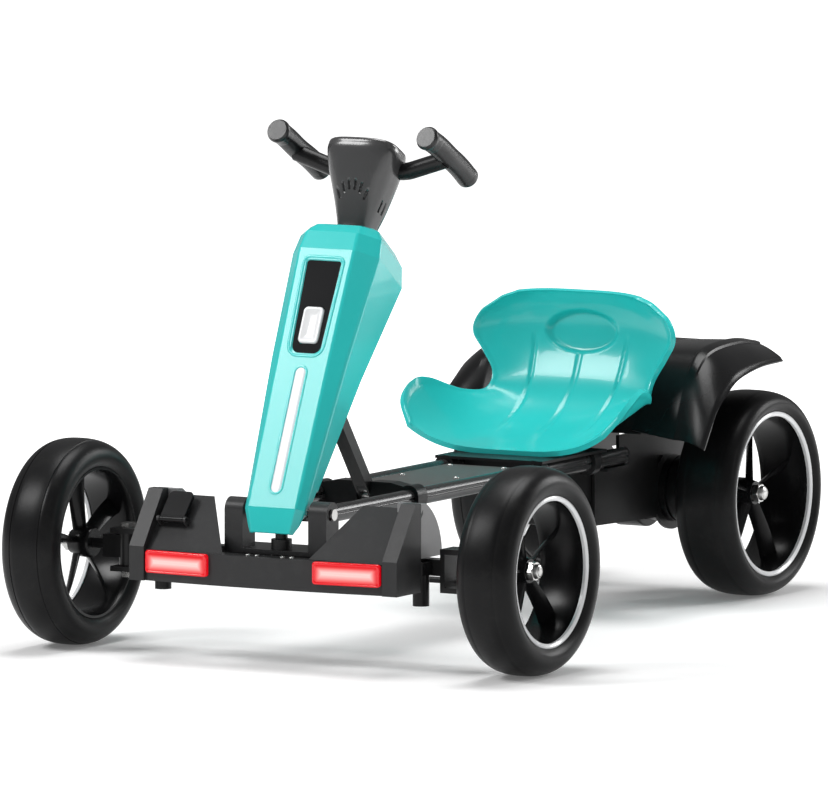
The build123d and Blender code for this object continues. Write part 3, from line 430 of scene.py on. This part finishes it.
def copied(name, tree, places, source, **values):
    """Runs a copying tree over some points and gives the plain mesh; the source is used up."""
    data = bpy.data.meshes.new(name + " maker")
    data.from_pydata(places, [], [])
    holder = bpy.data.objects.new(name + " maker", data)
    bpy.context.collection.objects.link(holder)
    modifier = holder.modifiers.new("copies", "NODES")
    modifier.node_group = tree
    keys = {item.name: item.identifier for item in tree.interface.items_tree if item.in_out == "INPUT"}
    for label, value in {"Source": source, **values}.items():
        modifier[keys[label]] = value
    ready = holder.evaluated_get(bpy.context.evaluated_depsgraph_get())
    made = bpy.data.objects.new(name, bpy.data.meshes.new_from_object(ready))
    bpy.context.collection.objects.link(made)
    bpy.data.objects.remove(holder)
    bpy.data.objects.remove(source)
    return made


# ---- wheels ----
def tyre_outline(half, radius, bed):
    """Balloon section with a bead step, a fine moulding line and two shallow tread grooves."""
    crown = bed + 0.3 * (radius - bed)
    outline = []
    steps = 36
    for i in range(steps + 1):
        angle = math.pi * i / steps
        across = math.copysign(abs(math.cos(angle)) ** 0.78, math.cos(angle))
        height = math.sin(angle) ** 0.78
        outline.append((half * across, crown + (radius - crown) * height))
        if i in (13, 23):
            outline.append((half * across * 1.02, outline[-1][1] - 0.0007))
    bead = [(half - 0.0015, bed + 0.003), (half - 0.005, bed)]
    return outline + [(-x, radius) for x, radius in bead] + bead[::-1]


def blade(reach, start, deep):
    """One spoke along +Y about the X axis: a thin blade that twists and widens towards the rim."""
    rows, across = 14, 10
    points = []
    for i in range(rows):
        t = i / (rows - 1)
        radius = start + (reach - start) * t
        twist = math.radians(62 - 26 * t)
        half_wide = 0.0068 + 0.0026 * t ** 1.5
        half_thick = 0.0019
        sweep = 0.006 * math.sin(t * math.pi * 0.6)
        for j in range(across):
            angle = 2 * math.pi * j / across
            u, v = half_wide * math.cos(angle), half_thick * math.sin(angle)
            x = deep + u * math.sin(twist) + v * math.cos(twist)
            z = sweep + u * math.cos(twist) - v * math.sin(twist)
            points.append((x, radius, z))
    return points, capped(rows, across)


# each wheel: (X, Y, radius, half width, rim radius, hub's outer end, hub's inner end)
WHEELS = {"front": (0.250, -0.337, 0.100, 0.030, 0.073, 0.002, -0.022),
          "rear": (0.127, 0.335, 0.102, 0.033, 0.082, 0.008, -0.035)}
SPOKES = 5
SPOKE_START = {"front": 20.0, "rear": 10.0}
RIM_WALL = 0.0035
BORE = 0.0051


def wheel(end, name, side):
    x, y, radius, half, bed, hub_end, hub_start = WHEELS[end]
    body = f"wheel_{end}_{name}"
    place = (x, y, radius)
    tyre = turned(f"tyre_{end}_{name}_moulded", tyre_outline(half, radius, bed), side, place, rubber)
    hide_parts(f"tyre_{end}_{name}")
    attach(tyre, body)
    lip = half - 0.0045
    ring_outline = [(lip - 0.004, bed - 0.0045), (lip - 0.001, bed - 0.005), (lip, bed - 0.004),
                    (lip + 0.0008, bed - 0.0022), (lip, bed - 0.0005), (lip - 0.0015, bed),
                    (lip - 0.004, bed)]
    ring = turned(f"ring_{end}_{name}_moulded", ring_outline, side, place, white_ring)
    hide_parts(f"ring_{end}_{name}")
    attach(ring, body)
    inner = bed - RIM_WALL
    barrel_outline = [(-half + 0.004, bed), (lip - 0.0042, bed), (lip - 0.0042, inner),
                      (lip - 0.008, inner - 0.001), (-half + 0.012, inner - 0.0015), (-half + 0.006, inner),
                      (-half + 0.004, inner + 0.001)]
    barrel = turned(f"barrel_{end}_{name}", barrel_outline, side, place, black_rim)
    hub_outline = [(hub_start, BORE), (hub_start, 0.0135), (hub_start + 0.002, 0.015),
                   (hub_end - 0.010, 0.0145), (hub_end - 0.004, 0.0125), (hub_end, 0.0115), (hub_end, BORE)]
    hub = turned(f"hub_{end}_{name}", hub_outline, side, place, black_rim)
    points, faces = blade(inner, 0.0105, 0.0)
    points = [(side * (p[0] + hub_end - 0.008), p[1], p[2]) for p in points]
    source = piece("blade source", points, faces, black_rim, 60)
    source.data.transform(Matrix.Rotation(math.radians(SPOKE_START[end]), 4, "X"))
    spokes = copied(f"spokes_{end}_{name}", copies_around, [], source, Count=SPOKES, Material=black_rim)
    spokes.data.transform(Matrix.Translation((side * x, y, radius)))
    for part in (barrel, hub, spokes):
        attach(part, body)
    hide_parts(f"rim_{end}_{name}")


for end in WHEELS:
    for name, side in SIDES.items():
        wheel(end, name, side)


# ---- seat ----
# each station: (Y, Z) on the centre line, half width, height of the rim
SEAT_STATIONS = [
    (0.070, 0.162, 0.108, 0.022), (0.084, 0.1635, 0.121, 0.040), (0.100, 0.166, 0.125, 0.050),
    (0.120, 0.1695, 0.125, 0.055), (0.142, 0.175, 0.122, 0.050), (0.163, 0.1825, 0.115, 0.037),
    (0.181, 0.1925, 0.103, 0.019), (0.196, 0.205, 0.091, 0.005), (0.208, 0.221, 0.090, 0.006),
    (0.217, 0.240, 0.102, 0.014), (0.222, 0.256, 0.111, 0.020), (0.2245, 0.272, 0.110, 0.021),
    (0.224, 0.288, 0.101, 0.018), (0.221, 0.300, 0.084, 0.012), (0.219, 0.306, 0.066, 0.008),
]
RIM_CURVE = 3.5
SHELL = 0.0034
ROLL_WIDE, ROLL_TALL = 0.006, 0.0024
DISH_Z, DISH_WIDE, DISH_TALL, DISH_DEEP = 0.266, 0.0415, 0.0215, 0.0055
GROOVE_DEEP, GROOVE_WIDE = 0.0016, 0.0016


def step(value, low, high):
    t = min(max((value - low) / (high - low), 0.0), 1.0)
    return t * t * (3 - 2 * t)


def dished(x, y, z):
    """How far the oval dish presses the backrest back at a point."""
    oval = math.hypot(x / DISH_WIDE, (z - DISH_Z) / DISH_TALL)
    return DISH_DEEP * (1 - step(oval, 0.84, 1.0)) if y > 0.2 else 0.0


def sunk(x, y, z):
    """How far the seat's face is pressed back at a point: the oval dish and three grooves."""
    oval = math.hypot(x / DISH_WIDE, (z - DISH_Z) / DISH_TALL)
    depth = dished(x, y, z)
    if oval > 1.0 and y > 0.105 and z < 0.268:
        for line, low in ((0.0, 0.170), (0.052, 0.172), (-0.052, 0.172)):
            bend = line * (1 - 0.12 * (0.268 - z) / 0.1)
            gap = abs(x - bend) / GROOVE_WIDE
            ends = step(z, low, low + 0.008) * (1 - step(z, 0.258, 0.266) if line else 1.0)
            depth += GROOVE_DEEP * ends * math.exp(-gap * gap * 1.5)
    return depth


def seat():
    lines = smooth_line(SEAT_STATIONS, 9)
    across = 100
    upper, lower = [], []
    rows = len(lines)
    for i, (y, z, half, rise) in enumerate(lines):
        ahead, behind = lines[min(i + 1, rows - 1)], lines[max(i - 1, 0)]
        heading = Vector((0, ahead[0] - behind[0], ahead[1] - behind[1])).normalized()
        inward = Vector((0, -heading.z, heading.y))
        for j in range(-across // 2, across // 2 + 1):
            share = j / (across // 2)
            share = math.copysign(abs(share) ** 0.92, share)
            lift = rise * abs(share) ** RIM_CURVE
            point = Vector((half * share, y, z)) + inward * lift
            slope = RIM_CURVE * rise / half * abs(share) ** (RIM_CURVE - 1)
            face = (inward - Vector((math.copysign(slope, share), 0, 0))).normalized()
            inset = min(half * (1 - abs(share)), 0.0055 * i, 0.004 * (rows - 1 - i)) / ROLL_WIDE
            swell = ROLL_TALL * (1 - step(inset, 0.0, 1.0)) * step(inset, -0.3, 0.3)
            upper.append(point - face * (sunk(*point) - swell * 0.5))
            lower.append(point - face * (SHELL + swell + dished(*point)))
    columns = across + 1
    count = rows * columns
    faces = grid_faces(rows, columns)
    faces += [tuple(count + k for k in reversed(face)) for face in grid_faces(rows, columns)]
    edge = border(rows, columns)
    middle = [(upper[k] + lower[k]) / 2 for k in edge]
    points = upper + lower + middle
    start = 2 * count
    for k, here in enumerate(edge):
        after = (k + 1) % len(edge)
        there = edge[after]
        faces.append((here, there, start + after, start + k))
        faces.append((start + k, start + after, count + there, count + here))
    shell = piece("seat_shell_moulded", points, faces, teal, 70)
    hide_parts("seat_shell")
    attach(shell, "seat")


seat()


# ---- handlebar grips ----
GRIP_LINE = [(0.082, -0.2375, 0.4978), (0.083, -0.216, 0.488), (0.083, -0.195, 0.476), (0.082, -0.172, 0.464),
             (0.081, -0.150, 0.450)]


def grips():
    for name, side in SIDES.items():
        path = smooth_line([(side * x, y, z) for x, y, z in GRIP_LINE], 14)
        points = [Vector(p) for p in path]
        count = len(points)
        radii = []
        for i in range(count):
            share = i / (count - 1)
            rib = 0.0006 * (0.5 + 0.5 * math.cos(i * math.pi)) if 0.15 < share < 0.9 else 0.0
            ends = 0.002 * (1 - step(share, 0.0, 0.03)) + 0.003 * step(share, 0.97, 1.0)
            collar = 0.001 if share < 0.07 else 0.0
            radii.append(0.0108 + collar - ends - rib)
        grip = piece(f"grip_{name}", *tube(points, radii, 28), soft_grip, 50)
        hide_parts("grips")
        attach(grip, "steering")


grips()


# ---- fenders: a crowned skin with a raised rib and a rolled edge ----
# profile rows of a fender: (Y, Z) at the inner edge, the crown and the outer edge
FENDER_ROWS = [
    ((0.214, 0.172), (0.206, 0.166), (0.189, 0.160)), ((0.232, 0.212), (0.226, 0.212), (0.214, 0.192)),
    ((0.250, 0.240), (0.248, 0.241), (0.240, 0.211)), ((0.275, 0.250), (0.275, 0.252), (0.266, 0.224)),
    ((0.330, 0.252), (0.330, 0.254), (0.310, 0.232)), ((0.372, 0.246), (0.372, 0.248), (0.356, 0.234)),
]
FENDER_IN, FENDER_CROWN, FENDER_OUT = 0.0612, 0.112, 0.155
RIB_X, RIB_WIDE, RIB_TALL = 0.117, 0.0045, 0.0018


def fender_height(row, x):
    """(Y, Z) of the skin at x on one row: flat to the crown, then falling in a round shoulder."""
    (y0, z0), (y1, z1), (y2, z2) = row
    if x <= FENDER_CROWN:
        t = (x - FENDER_IN) / (FENDER_CROWN - FENDER_IN)
        return y0 + (y1 - y0) * t, z0 + (z1 - z0) * t
    t = (x - FENDER_CROWN) / (FENDER_OUT - FENDER_CROWN)
    bulge = 0.006 * math.sin(math.pi * t)
    return y1 + (y2 - y1) * t - bulge * 0.3, z1 + (z2 - z1) * t ** 1.15 + bulge * 0.4


def fenders():
    lines = smooth_line([[value for point in row for value in point] for row in FENDER_ROWS], 10)
    rows = [((a, b), (c, d), (e, f)) for a, b, c, d, e, f in lines]
    columns = 60
    for name, side in SIDES.items():
        upper = []
        for row in rows:
            for j in range(columns):
                x = FENDER_IN + (FENDER_OUT - FENDER_IN) * j / (columns - 1)
                y, z = fender_height(row, x)
                upper.append(Vector((side * x, y, z)))
        normals = []
        for i in range(len(rows)):
            for j in range(columns):
                here = i * columns + j
                along = upper[min(i + 1, len(rows) - 1) * columns + j] - upper[max(i - 1, 0) * columns + j]
                over = upper[i * columns + min(j + 1, columns - 1)] - upper[i * columns + max(j - 1, 0)]
                normal = over.cross(along).normalized() * side
                normals.append(normal)
        lower = [p - n * 0.0028 for p, n in zip(upper, normals)]
        for i in range(len(rows)):
            for j in range(columns):
                here = i * columns + j
                x = abs(upper[here].x)
                share = i / (len(rows) - 1)
                rib = RIB_TALL * (1 - step(abs(x - RIB_X), RIB_WIDE, RIB_WIDE + 0.0014))
                sink = 0.0012 * step(x, FENDER_OUT - 0.004, FENDER_OUT - 0.002)
                upper[here] = upper[here] + normals[here] * (rib * step(share, 0.28, 0.34) - sink)
        count = len(upper)
        faces = grid_faces(len(rows), columns)
        faces += [tuple(count + k for k in reversed(face)) for face in faces]
        edge = border(len(rows), columns)
        for k, here in enumerate(edge):
            there = edge[(k + 1) % len(edge)]
            faces.append((here, there, count + there, count + here))
        skin = piece(f"fender_{name}", upper + lower, faces, fender_black, 35)
        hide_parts("fenders")
        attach(skin, "chassis")


fenders()


# ---- column face: window frame, rocker and light strip ----
face_up = Vector((0, math.sin(face_lean), math.cos(face_lean)))
face_out = Vector((0, -math.cos(face_lean), math.sin(face_lean)))
window_mid = fold + column_up * 0.199 - column_back * 0.02855
STRIP_DROP = -0.12412
ROCKER_DROP = -0.018


def on_face(x, rise, lift):
    return window_mid + Vector((x, 0, 0)) + face_up * rise + face_out * lift


def window_outline(grow):
    top, low = 0.0195 + grow, 0.0165 + grow
    corners = [(top, 0.048 + grow), (-top, 0.048 + grow), (-low, -0.047 - grow), (low, -0.047 - grow)]
    return rounded_loop(corners, [0.004 + grow, 0.004 + grow, 0.009 + grow, 0.009 + grow])


def rocker_outline(grow):
    return rounded_box(ROCKER_DROP, 0.0108 + grow, 0.0183 + grow, max(0.0006, 0.0046 + grow))


def strip_outline(grow):
    return rounded_box(STRIP_DROP, 0.0056 + grow, 0.0629 + grow, 0.0055 + grow, 9)


def column_face():
    frame_rows = [(0.0042, -0.001), (0.0040, 0.0003), (0.0030, 0.0007), (0.0020, 0.0006), (-0.0006, -0.0013),
                  (-0.0008, -0.0016), (-0.0008, -0.0024), (0.002, -0.0024)]
    frame_ring = stacked("window_frame", window_outline, frame_rows, on_face, teal_edge, ring=True)
    rim_rows = [(0.0026, -0.001), (0.0024, 0.0003), (0.0016, 0.0006), (0.0007, 0.0005), (0.0, -0.0004),
                (0.0, -0.002), (0.002, -0.002)]
    rim = stacked("strip_rim", strip_outline, rim_rows, on_face, teal_edge, ring=True)
    lens_rows = [(-0.0001, -0.0026), (-0.0001, -0.0004), (-0.0006, 0.0), (-0.0016, 0.0002), (-0.003, 0.0003),
                 (-0.0045, 0.0003)]
    lens = stacked("strip_lens", strip_outline, lens_rows, on_face, strip_glow)
    set_glow(lens, lambda p: 1 - step(abs(p.x), 0.002, 0.005))
    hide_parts("light_strip")
    key_rows = [(0.0, -0.0051), (0.0, -0.0006), (-0.0004, 0.0), (-0.0012, 0.0003), (-0.0026, 0.0002),
                (-0.0040, -0.0002), (-0.0062, -0.0007), (-0.0085, -0.0010)]
    key = stacked("rocker_key", rocker_outline, key_rows, on_face, white_ring)
    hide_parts("power_rocker")
    for part, body, finish in ((frame_ring, "column", "teal"), (rim, "column", "teal"),
                               (lens, "column", "diffuser"), (key, "rocker", "ring")):
        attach(part, body)


column_face()


# ---- steering head: a pod that widens from the neck, with vents and a lid ----
# each section: (along, middle rearwards, half width, half depth)
HEAD_SECTIONS = [(0.2925, 0.001, 0.0165, 0.0155), (0.300, 0.0, 0.0185, 0.0165),
                 (0.318, -0.003, 0.024, 0.020), (0.346, -0.011, 0.033, 0.024),
                 (0.364, -0.016, 0.037, 0.026), (0.372, -0.017, 0.0368, 0.0258)]
HEAD_LID = [(0.3738, 0.982), (0.3748, 0.95), (0.3750, 0.90), (0.3748, 0.865), (0.3738, 0.855), (0.3738, 0.83),
            (0.3745, 0.80), (0.3747, 0.5), (0.3748, 0.1)]
VENTS = [(-0.0150, 0.3230, 0.42), (-0.0096, 0.3285, 0.26), (-0.0034, 0.3312, 0.09), (0.0034, 0.3312, -0.09),
         (0.0096, 0.3285, -0.26), (0.0150, 0.3230, -0.42)]
SIDE_VENT = 0.318
CORNER_POWER = 3.4
steer_up = Vector((0, math.sin(steer_lean), math.cos(steer_lean)))
steer_back = Vector((0, math.cos(steer_lean), -math.sin(steer_lean)))


def pressed(x, deep, along, half_wide, half_deep):
    """How far the pod is pressed in: six vents in front and two on each side."""
    if deep < -0.6 * half_deep:
        for centre, middle, lean in VENTS:
            across = abs(x - centre - lean * (middle - along))
            if across < 0.0016:
                ends = 1 - step(abs(along - middle), 0.0038, 0.0048)
                return 0.0022 * (1 - step(across, 0.0009, 0.0014)) * ends
    elif abs(x) > 0.7 * half_wide:
        for centre in (-0.004, 0.003):
            across = abs(deep - centre)
            if across < 0.0016:
                ends = 1 - step(abs(along - SIDE_VENT), 0.005, 0.006)
                return 0.002 * (1 - step(across, 0.0009, 0.0014)) * ends
    return 0.0


def head():
    rows = [(*row, 1.0) for row in smooth_line(HEAD_SECTIONS, 26)]
    rows += [(along, *HEAD_SECTIONS[-1][1:], share) for along, share in HEAD_LID]
    around = 300
    points = []
    for along, middle, half_wide, half_deep, share in rows:
        for j in range(around):
            angle = 2 * math.pi * (j + 0.5) / around
            cosine, sine = math.cos(angle), math.sin(angle)
            size = (abs(cosine) ** CORNER_POWER + abs(sine) ** CORNER_POWER) ** (-1 / CORNER_POWER)
            x, deep = half_wide * cosine * size, half_deep * sine * size
            sink = pressed(x, deep, along, half_wide, half_deep) if share == 1.0 else 0.0
            inward = Vector((x / half_wide ** 2, deep / half_deep ** 2)).normalized() * sink
            points.append(fold + steer_up * along + steer_back * (middle + deep * share - inward.y)
                          + Vector((x * share - inward.x, 0, 0)))
    pod = piece("head_pod", points, capped(len(rows), around), head_painted_sheen, 30)
    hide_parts("steering_head")
    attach(pod, "steering")
    collar = [(0.0142, 0.2920), (0.0176, 0.2920), (0.0184, 0.2926), (0.0184, 0.2940), (0.0176, 0.2948),
              (0.0142, 0.2948)]
    points = []
    turns = 96
    for j in range(turns):
        angle = 2 * math.pi * j / turns
        for radius, along in collar:
            points.append(fold + steer_up * along + steer_back * (0.001 + radius * math.sin(angle) * 0.95)
                          + Vector((radius * math.cos(angle), 0, 0)))
    faces = grid_faces(turns, len(collar), closed_rows=True, closed_columns=True)
    ring = piece("neck_collar", points, faces, black_plastic)
    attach(ring, "steering")


head()


# ---- lamps in the bumper ----
LAMP_ENDS = (0.058, -0.4160), (0.129, -0.4105)
LAMP_MID, LAMP_TALL = 0.095, 0.022


def lamps():
    for name, side in SIDES.items():
        start, end = (Vector((side * x, y, 0)) for x, y in LAMP_ENDS)
        along = (end - start).normalized()
        out = Vector((along.y, -along.x, 0)) * side
        middle = (start + end) / 2 + Vector((0, 0, LAMP_MID))
        half = (end - start).length / 2

        def outline(grow):
            return rounded_box(0, half + grow, LAMP_TALL / 2 + grow, max(0.0005, 0.0032 + grow * 0.3))

        def place(u, v, lift):
            return middle + along * u * side + Vector((0, 0, v)) + out * lift

        rows = [(-0.0002, -0.0045), (-0.0002, -0.0008), (-0.0008, -0.0002), (-0.0016, 0.0),
                (-0.0022, -0.0005), (-0.0030, -0.0005), (-0.0042, -0.0002), (-0.0056, 0.0),
                (-0.0072, 0.0), (-0.0088, 0.0), (-0.0100, 0.0)]
        lens = stacked(f"lamp_{name}", outline, rows, place, lamp_glow, 50)
        centre = middle - Vector((0, 0, 0.001))

        def share(point):
            off = point - centre
            across, tall = abs(off.dot(along)) / (half - 0.003), abs(off.z) / 0.0085
            return (1 - step(across, 0.55, 1.02)) * (1 - step(tall, 0.25, 1.15))

        set_glow(lens, share)
        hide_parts("lamps")
        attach(lens, "chassis")


lamps()


# ---- screws and bolts, copied by geometry nodes ----
def screw_head(radius, tall, out):
    """A domed screw head with a cross recess, standing on the origin along out."""
    around = 48
    across = out.orthogonal().normalized()
    beside = out.cross(across)
    rows = [(1.0, -0.3), (1.0, 0.25), (0.93, 0.6), (0.78, 0.85), (0.62, 0.97), (0.5, 1.0), (0.38, 1.0),
            (0.2, 1.0)]
    points = []
    for share, lift in rows:
        for j in range(around):
            angle = 2 * math.pi * j / around
            cross = share < 0.6 and min(abs(math.sin(angle)), abs(math.cos(angle))) * share < 0.11
            point = across * math.cos(angle) * share * radius + beside * math.sin(angle) * share * radius
            points.append(point + out * (tall * lift - (0.5 * tall if cross else 0.0)))
    return piece("screw source", points, capped(len(rows), around), zinc, 30)


def screws(name, body, places, out, radius, tall, material):
    source = screw_head(radius, tall, Vector(out).normalized())
    made = copied(name, copies_on_points, places, source, Material=material)
    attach(made, body)


screws("bumper_screws", "chassis", [(x, -0.3945, 0.1050) for x in (-0.024, -0.014, 0.014, 0.024)],
       (0, 0, 1), 0.0028, 0.0014, zinc)
screws("lid_screws", "chassis", [(x, y, 0.1365) for x in (-0.031, 0.031) for y in (0.126, 0.160)],
       (0, 0, 1), 0.0026, 0.0012, powder_black)
screws("floor_screws", "chassis", [(x, y, 0.152) for x in (-0.030, 0.030) for y in (-0.182, -0.085, 0.010)],
       (0, 0, 1), 0.0030, 0.0014, zinc)
screws("cowl_screws", "chassis", [(x, 0.372, z) for x in (-0.050, 0.050) for z in (0.176, 0.226)],
       (0, 1, 0), 0.0030, 0.0014, powder_black)


# ---- hub nuts: chamfered hexagon with a domed cap ----
NUT_FLAT = 0.0085


def hub_nut(name, body, side, place):
    rows = [(0.0, BORE), (0.0, 0.0088), (0.0006, 0.0098), (0.0053, 0.0098), (0.0060, 0.0088),
            (0.0060, 0.0074), (0.0078, 0.0069), (0.0096, 0.0062), (0.0106, 0.0045), (0.0110, 0.0022),
            (0.0110, 0.0004)]
    around = 96
    x, y, z = place
    points = []
    for outwards, reach in rows:
        for j in range(around):
            angle = 2 * math.pi * j / around
            flat = NUT_FLAT / math.cos((angle % (math.pi / 3)) - math.pi / 6)
            radius = min(flat, reach)
            points.append((side * (x + outwards), y + radius * math.cos(angle), z + radius * math.sin(angle)))
    made = piece(name, points, capped(len(rows), around), zinc, 30)
    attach(made, body)
    return made


for name, side in SIDES.items():
    nut = hub_nut(f"cap_nut_front_{name}", f"knuckle_{name}", side, (0.2524, -0.337, 0.100))
    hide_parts(f"front_nut_{name}")
    nut = hub_nut(f"cap_nut_rear_{name}", "chassis", side, (0.1354, 0.335, 0.102))
    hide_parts("rear_nuts")


# ---- camera, light and floor ----
def camera():
    azimuth = math.radians(29.396)
    rise = math.radians(6.107)
    back = Vector((math.sin(azimuth) * math.cos(rise), -math.cos(azimuth) * math.cos(rise), math.sin(rise)))
    data = bpy.data.cameras.new("view")
    data.lens = 667.8
    data.sensor_width = 36
    data.clip_end = 100
    made = bpy.data.objects.new("view", data)
    made.location = Vector((-0.0645, 0, 0.2146)) + back * 15.0
    made.rotation_euler = (-back).to_track_quat("-Z", "Y").to_euler()
    bpy.context.collection.objects.link(made)
    bpy.context.scene.camera = made


def area_light(name, place, target, size, power):
    data = bpy.data.lights.new(name, "AREA")
    data.shape = "RECTANGLE"
    data.size, data.size_y = size
    data.energy = power
    made = bpy.data.objects.new(name, data)
    made.location = place
    aim = Vector(target) - Vector(place)
    made.rotation_euler = aim.to_track_quat("-Z", "Y").to_euler()
    bpy.context.collection.objects.link(made)


def studio():
    area_light("key", (-1.6, -1.9, 2.2), (0, 0, 0.2), (1.0, 1.0), 44)
    area_light("side", (2.6, -0.6, 1.2), (0, 0, 0.2), (0.5, 1.6), 3)
    area_light("top", (-0.2, 0.3, 3.0), (0, 0, 0.2), (1.6, 1.6), 60)
    area_light("rear", (1.6, 2.2, 1.2), (0, 0, 0.25), (0.8, 1.4), 34)
    world = bpy.data.worlds.new("studio")
    world.use_nodes = True
    world.node_tree.nodes["Background"].inputs["Color"].default_value = (1.0, 1.0, 1.0, 1)
    world.node_tree.nodes["Background"].inputs["Strength"].default_value = 0.22
    bpy.context.scene.world = world
    data = bpy.data.meshes.new("floor")
    half = 40.0
    corners = [(-half, -half, 0), (half, -half, 0), (half, half, 0), (-half, half, 0)]
    data.from_pydata(corners, [], [(0, 1, 2, 3)])
    floor = bpy.data.objects.new("floor", data)
    bpy.context.collection.objects.link(floor)
    pale = bpy.data.materials.new("pale floor")
    pale.use_nodes = True
    tree = pale.node_tree
    shader = tree.nodes["Principled BSDF"]
    shader.inputs["Base Color"].default_value = (0.93, 0.93, 0.93, 1)
    shader.inputs["Roughness"].default_value = 0.8
    shader.inputs["Specular IOR Level"].default_value = 0.1
    shader.inputs["Emission Color"].default_value = (1, 1, 1, 1)
    place = node(tree, "ShaderNodeTexCoord", (-900, -200))
    reach = node(tree, "ShaderNodeVectorMath", (-700, -200), operation="LENGTH")
    tree.links.new(place.outputs["Object"], reach.inputs[0])
    fade = node(tree, "ShaderNodeMapRange", (-450, -200), From_Min=0.5, From_Max=2.2, To_Min=0.12,
                To_Max=0.95)
    tree.links.new(reach.outputs["Value"], fade.inputs["Value"])
    tree.links.new(fade.outputs["Result"], shader.inputs["Emission Strength"])
    data.materials.append(pale)


camera()
studio()
bpy.context.scene.view_settings.view_transform = "Standard"
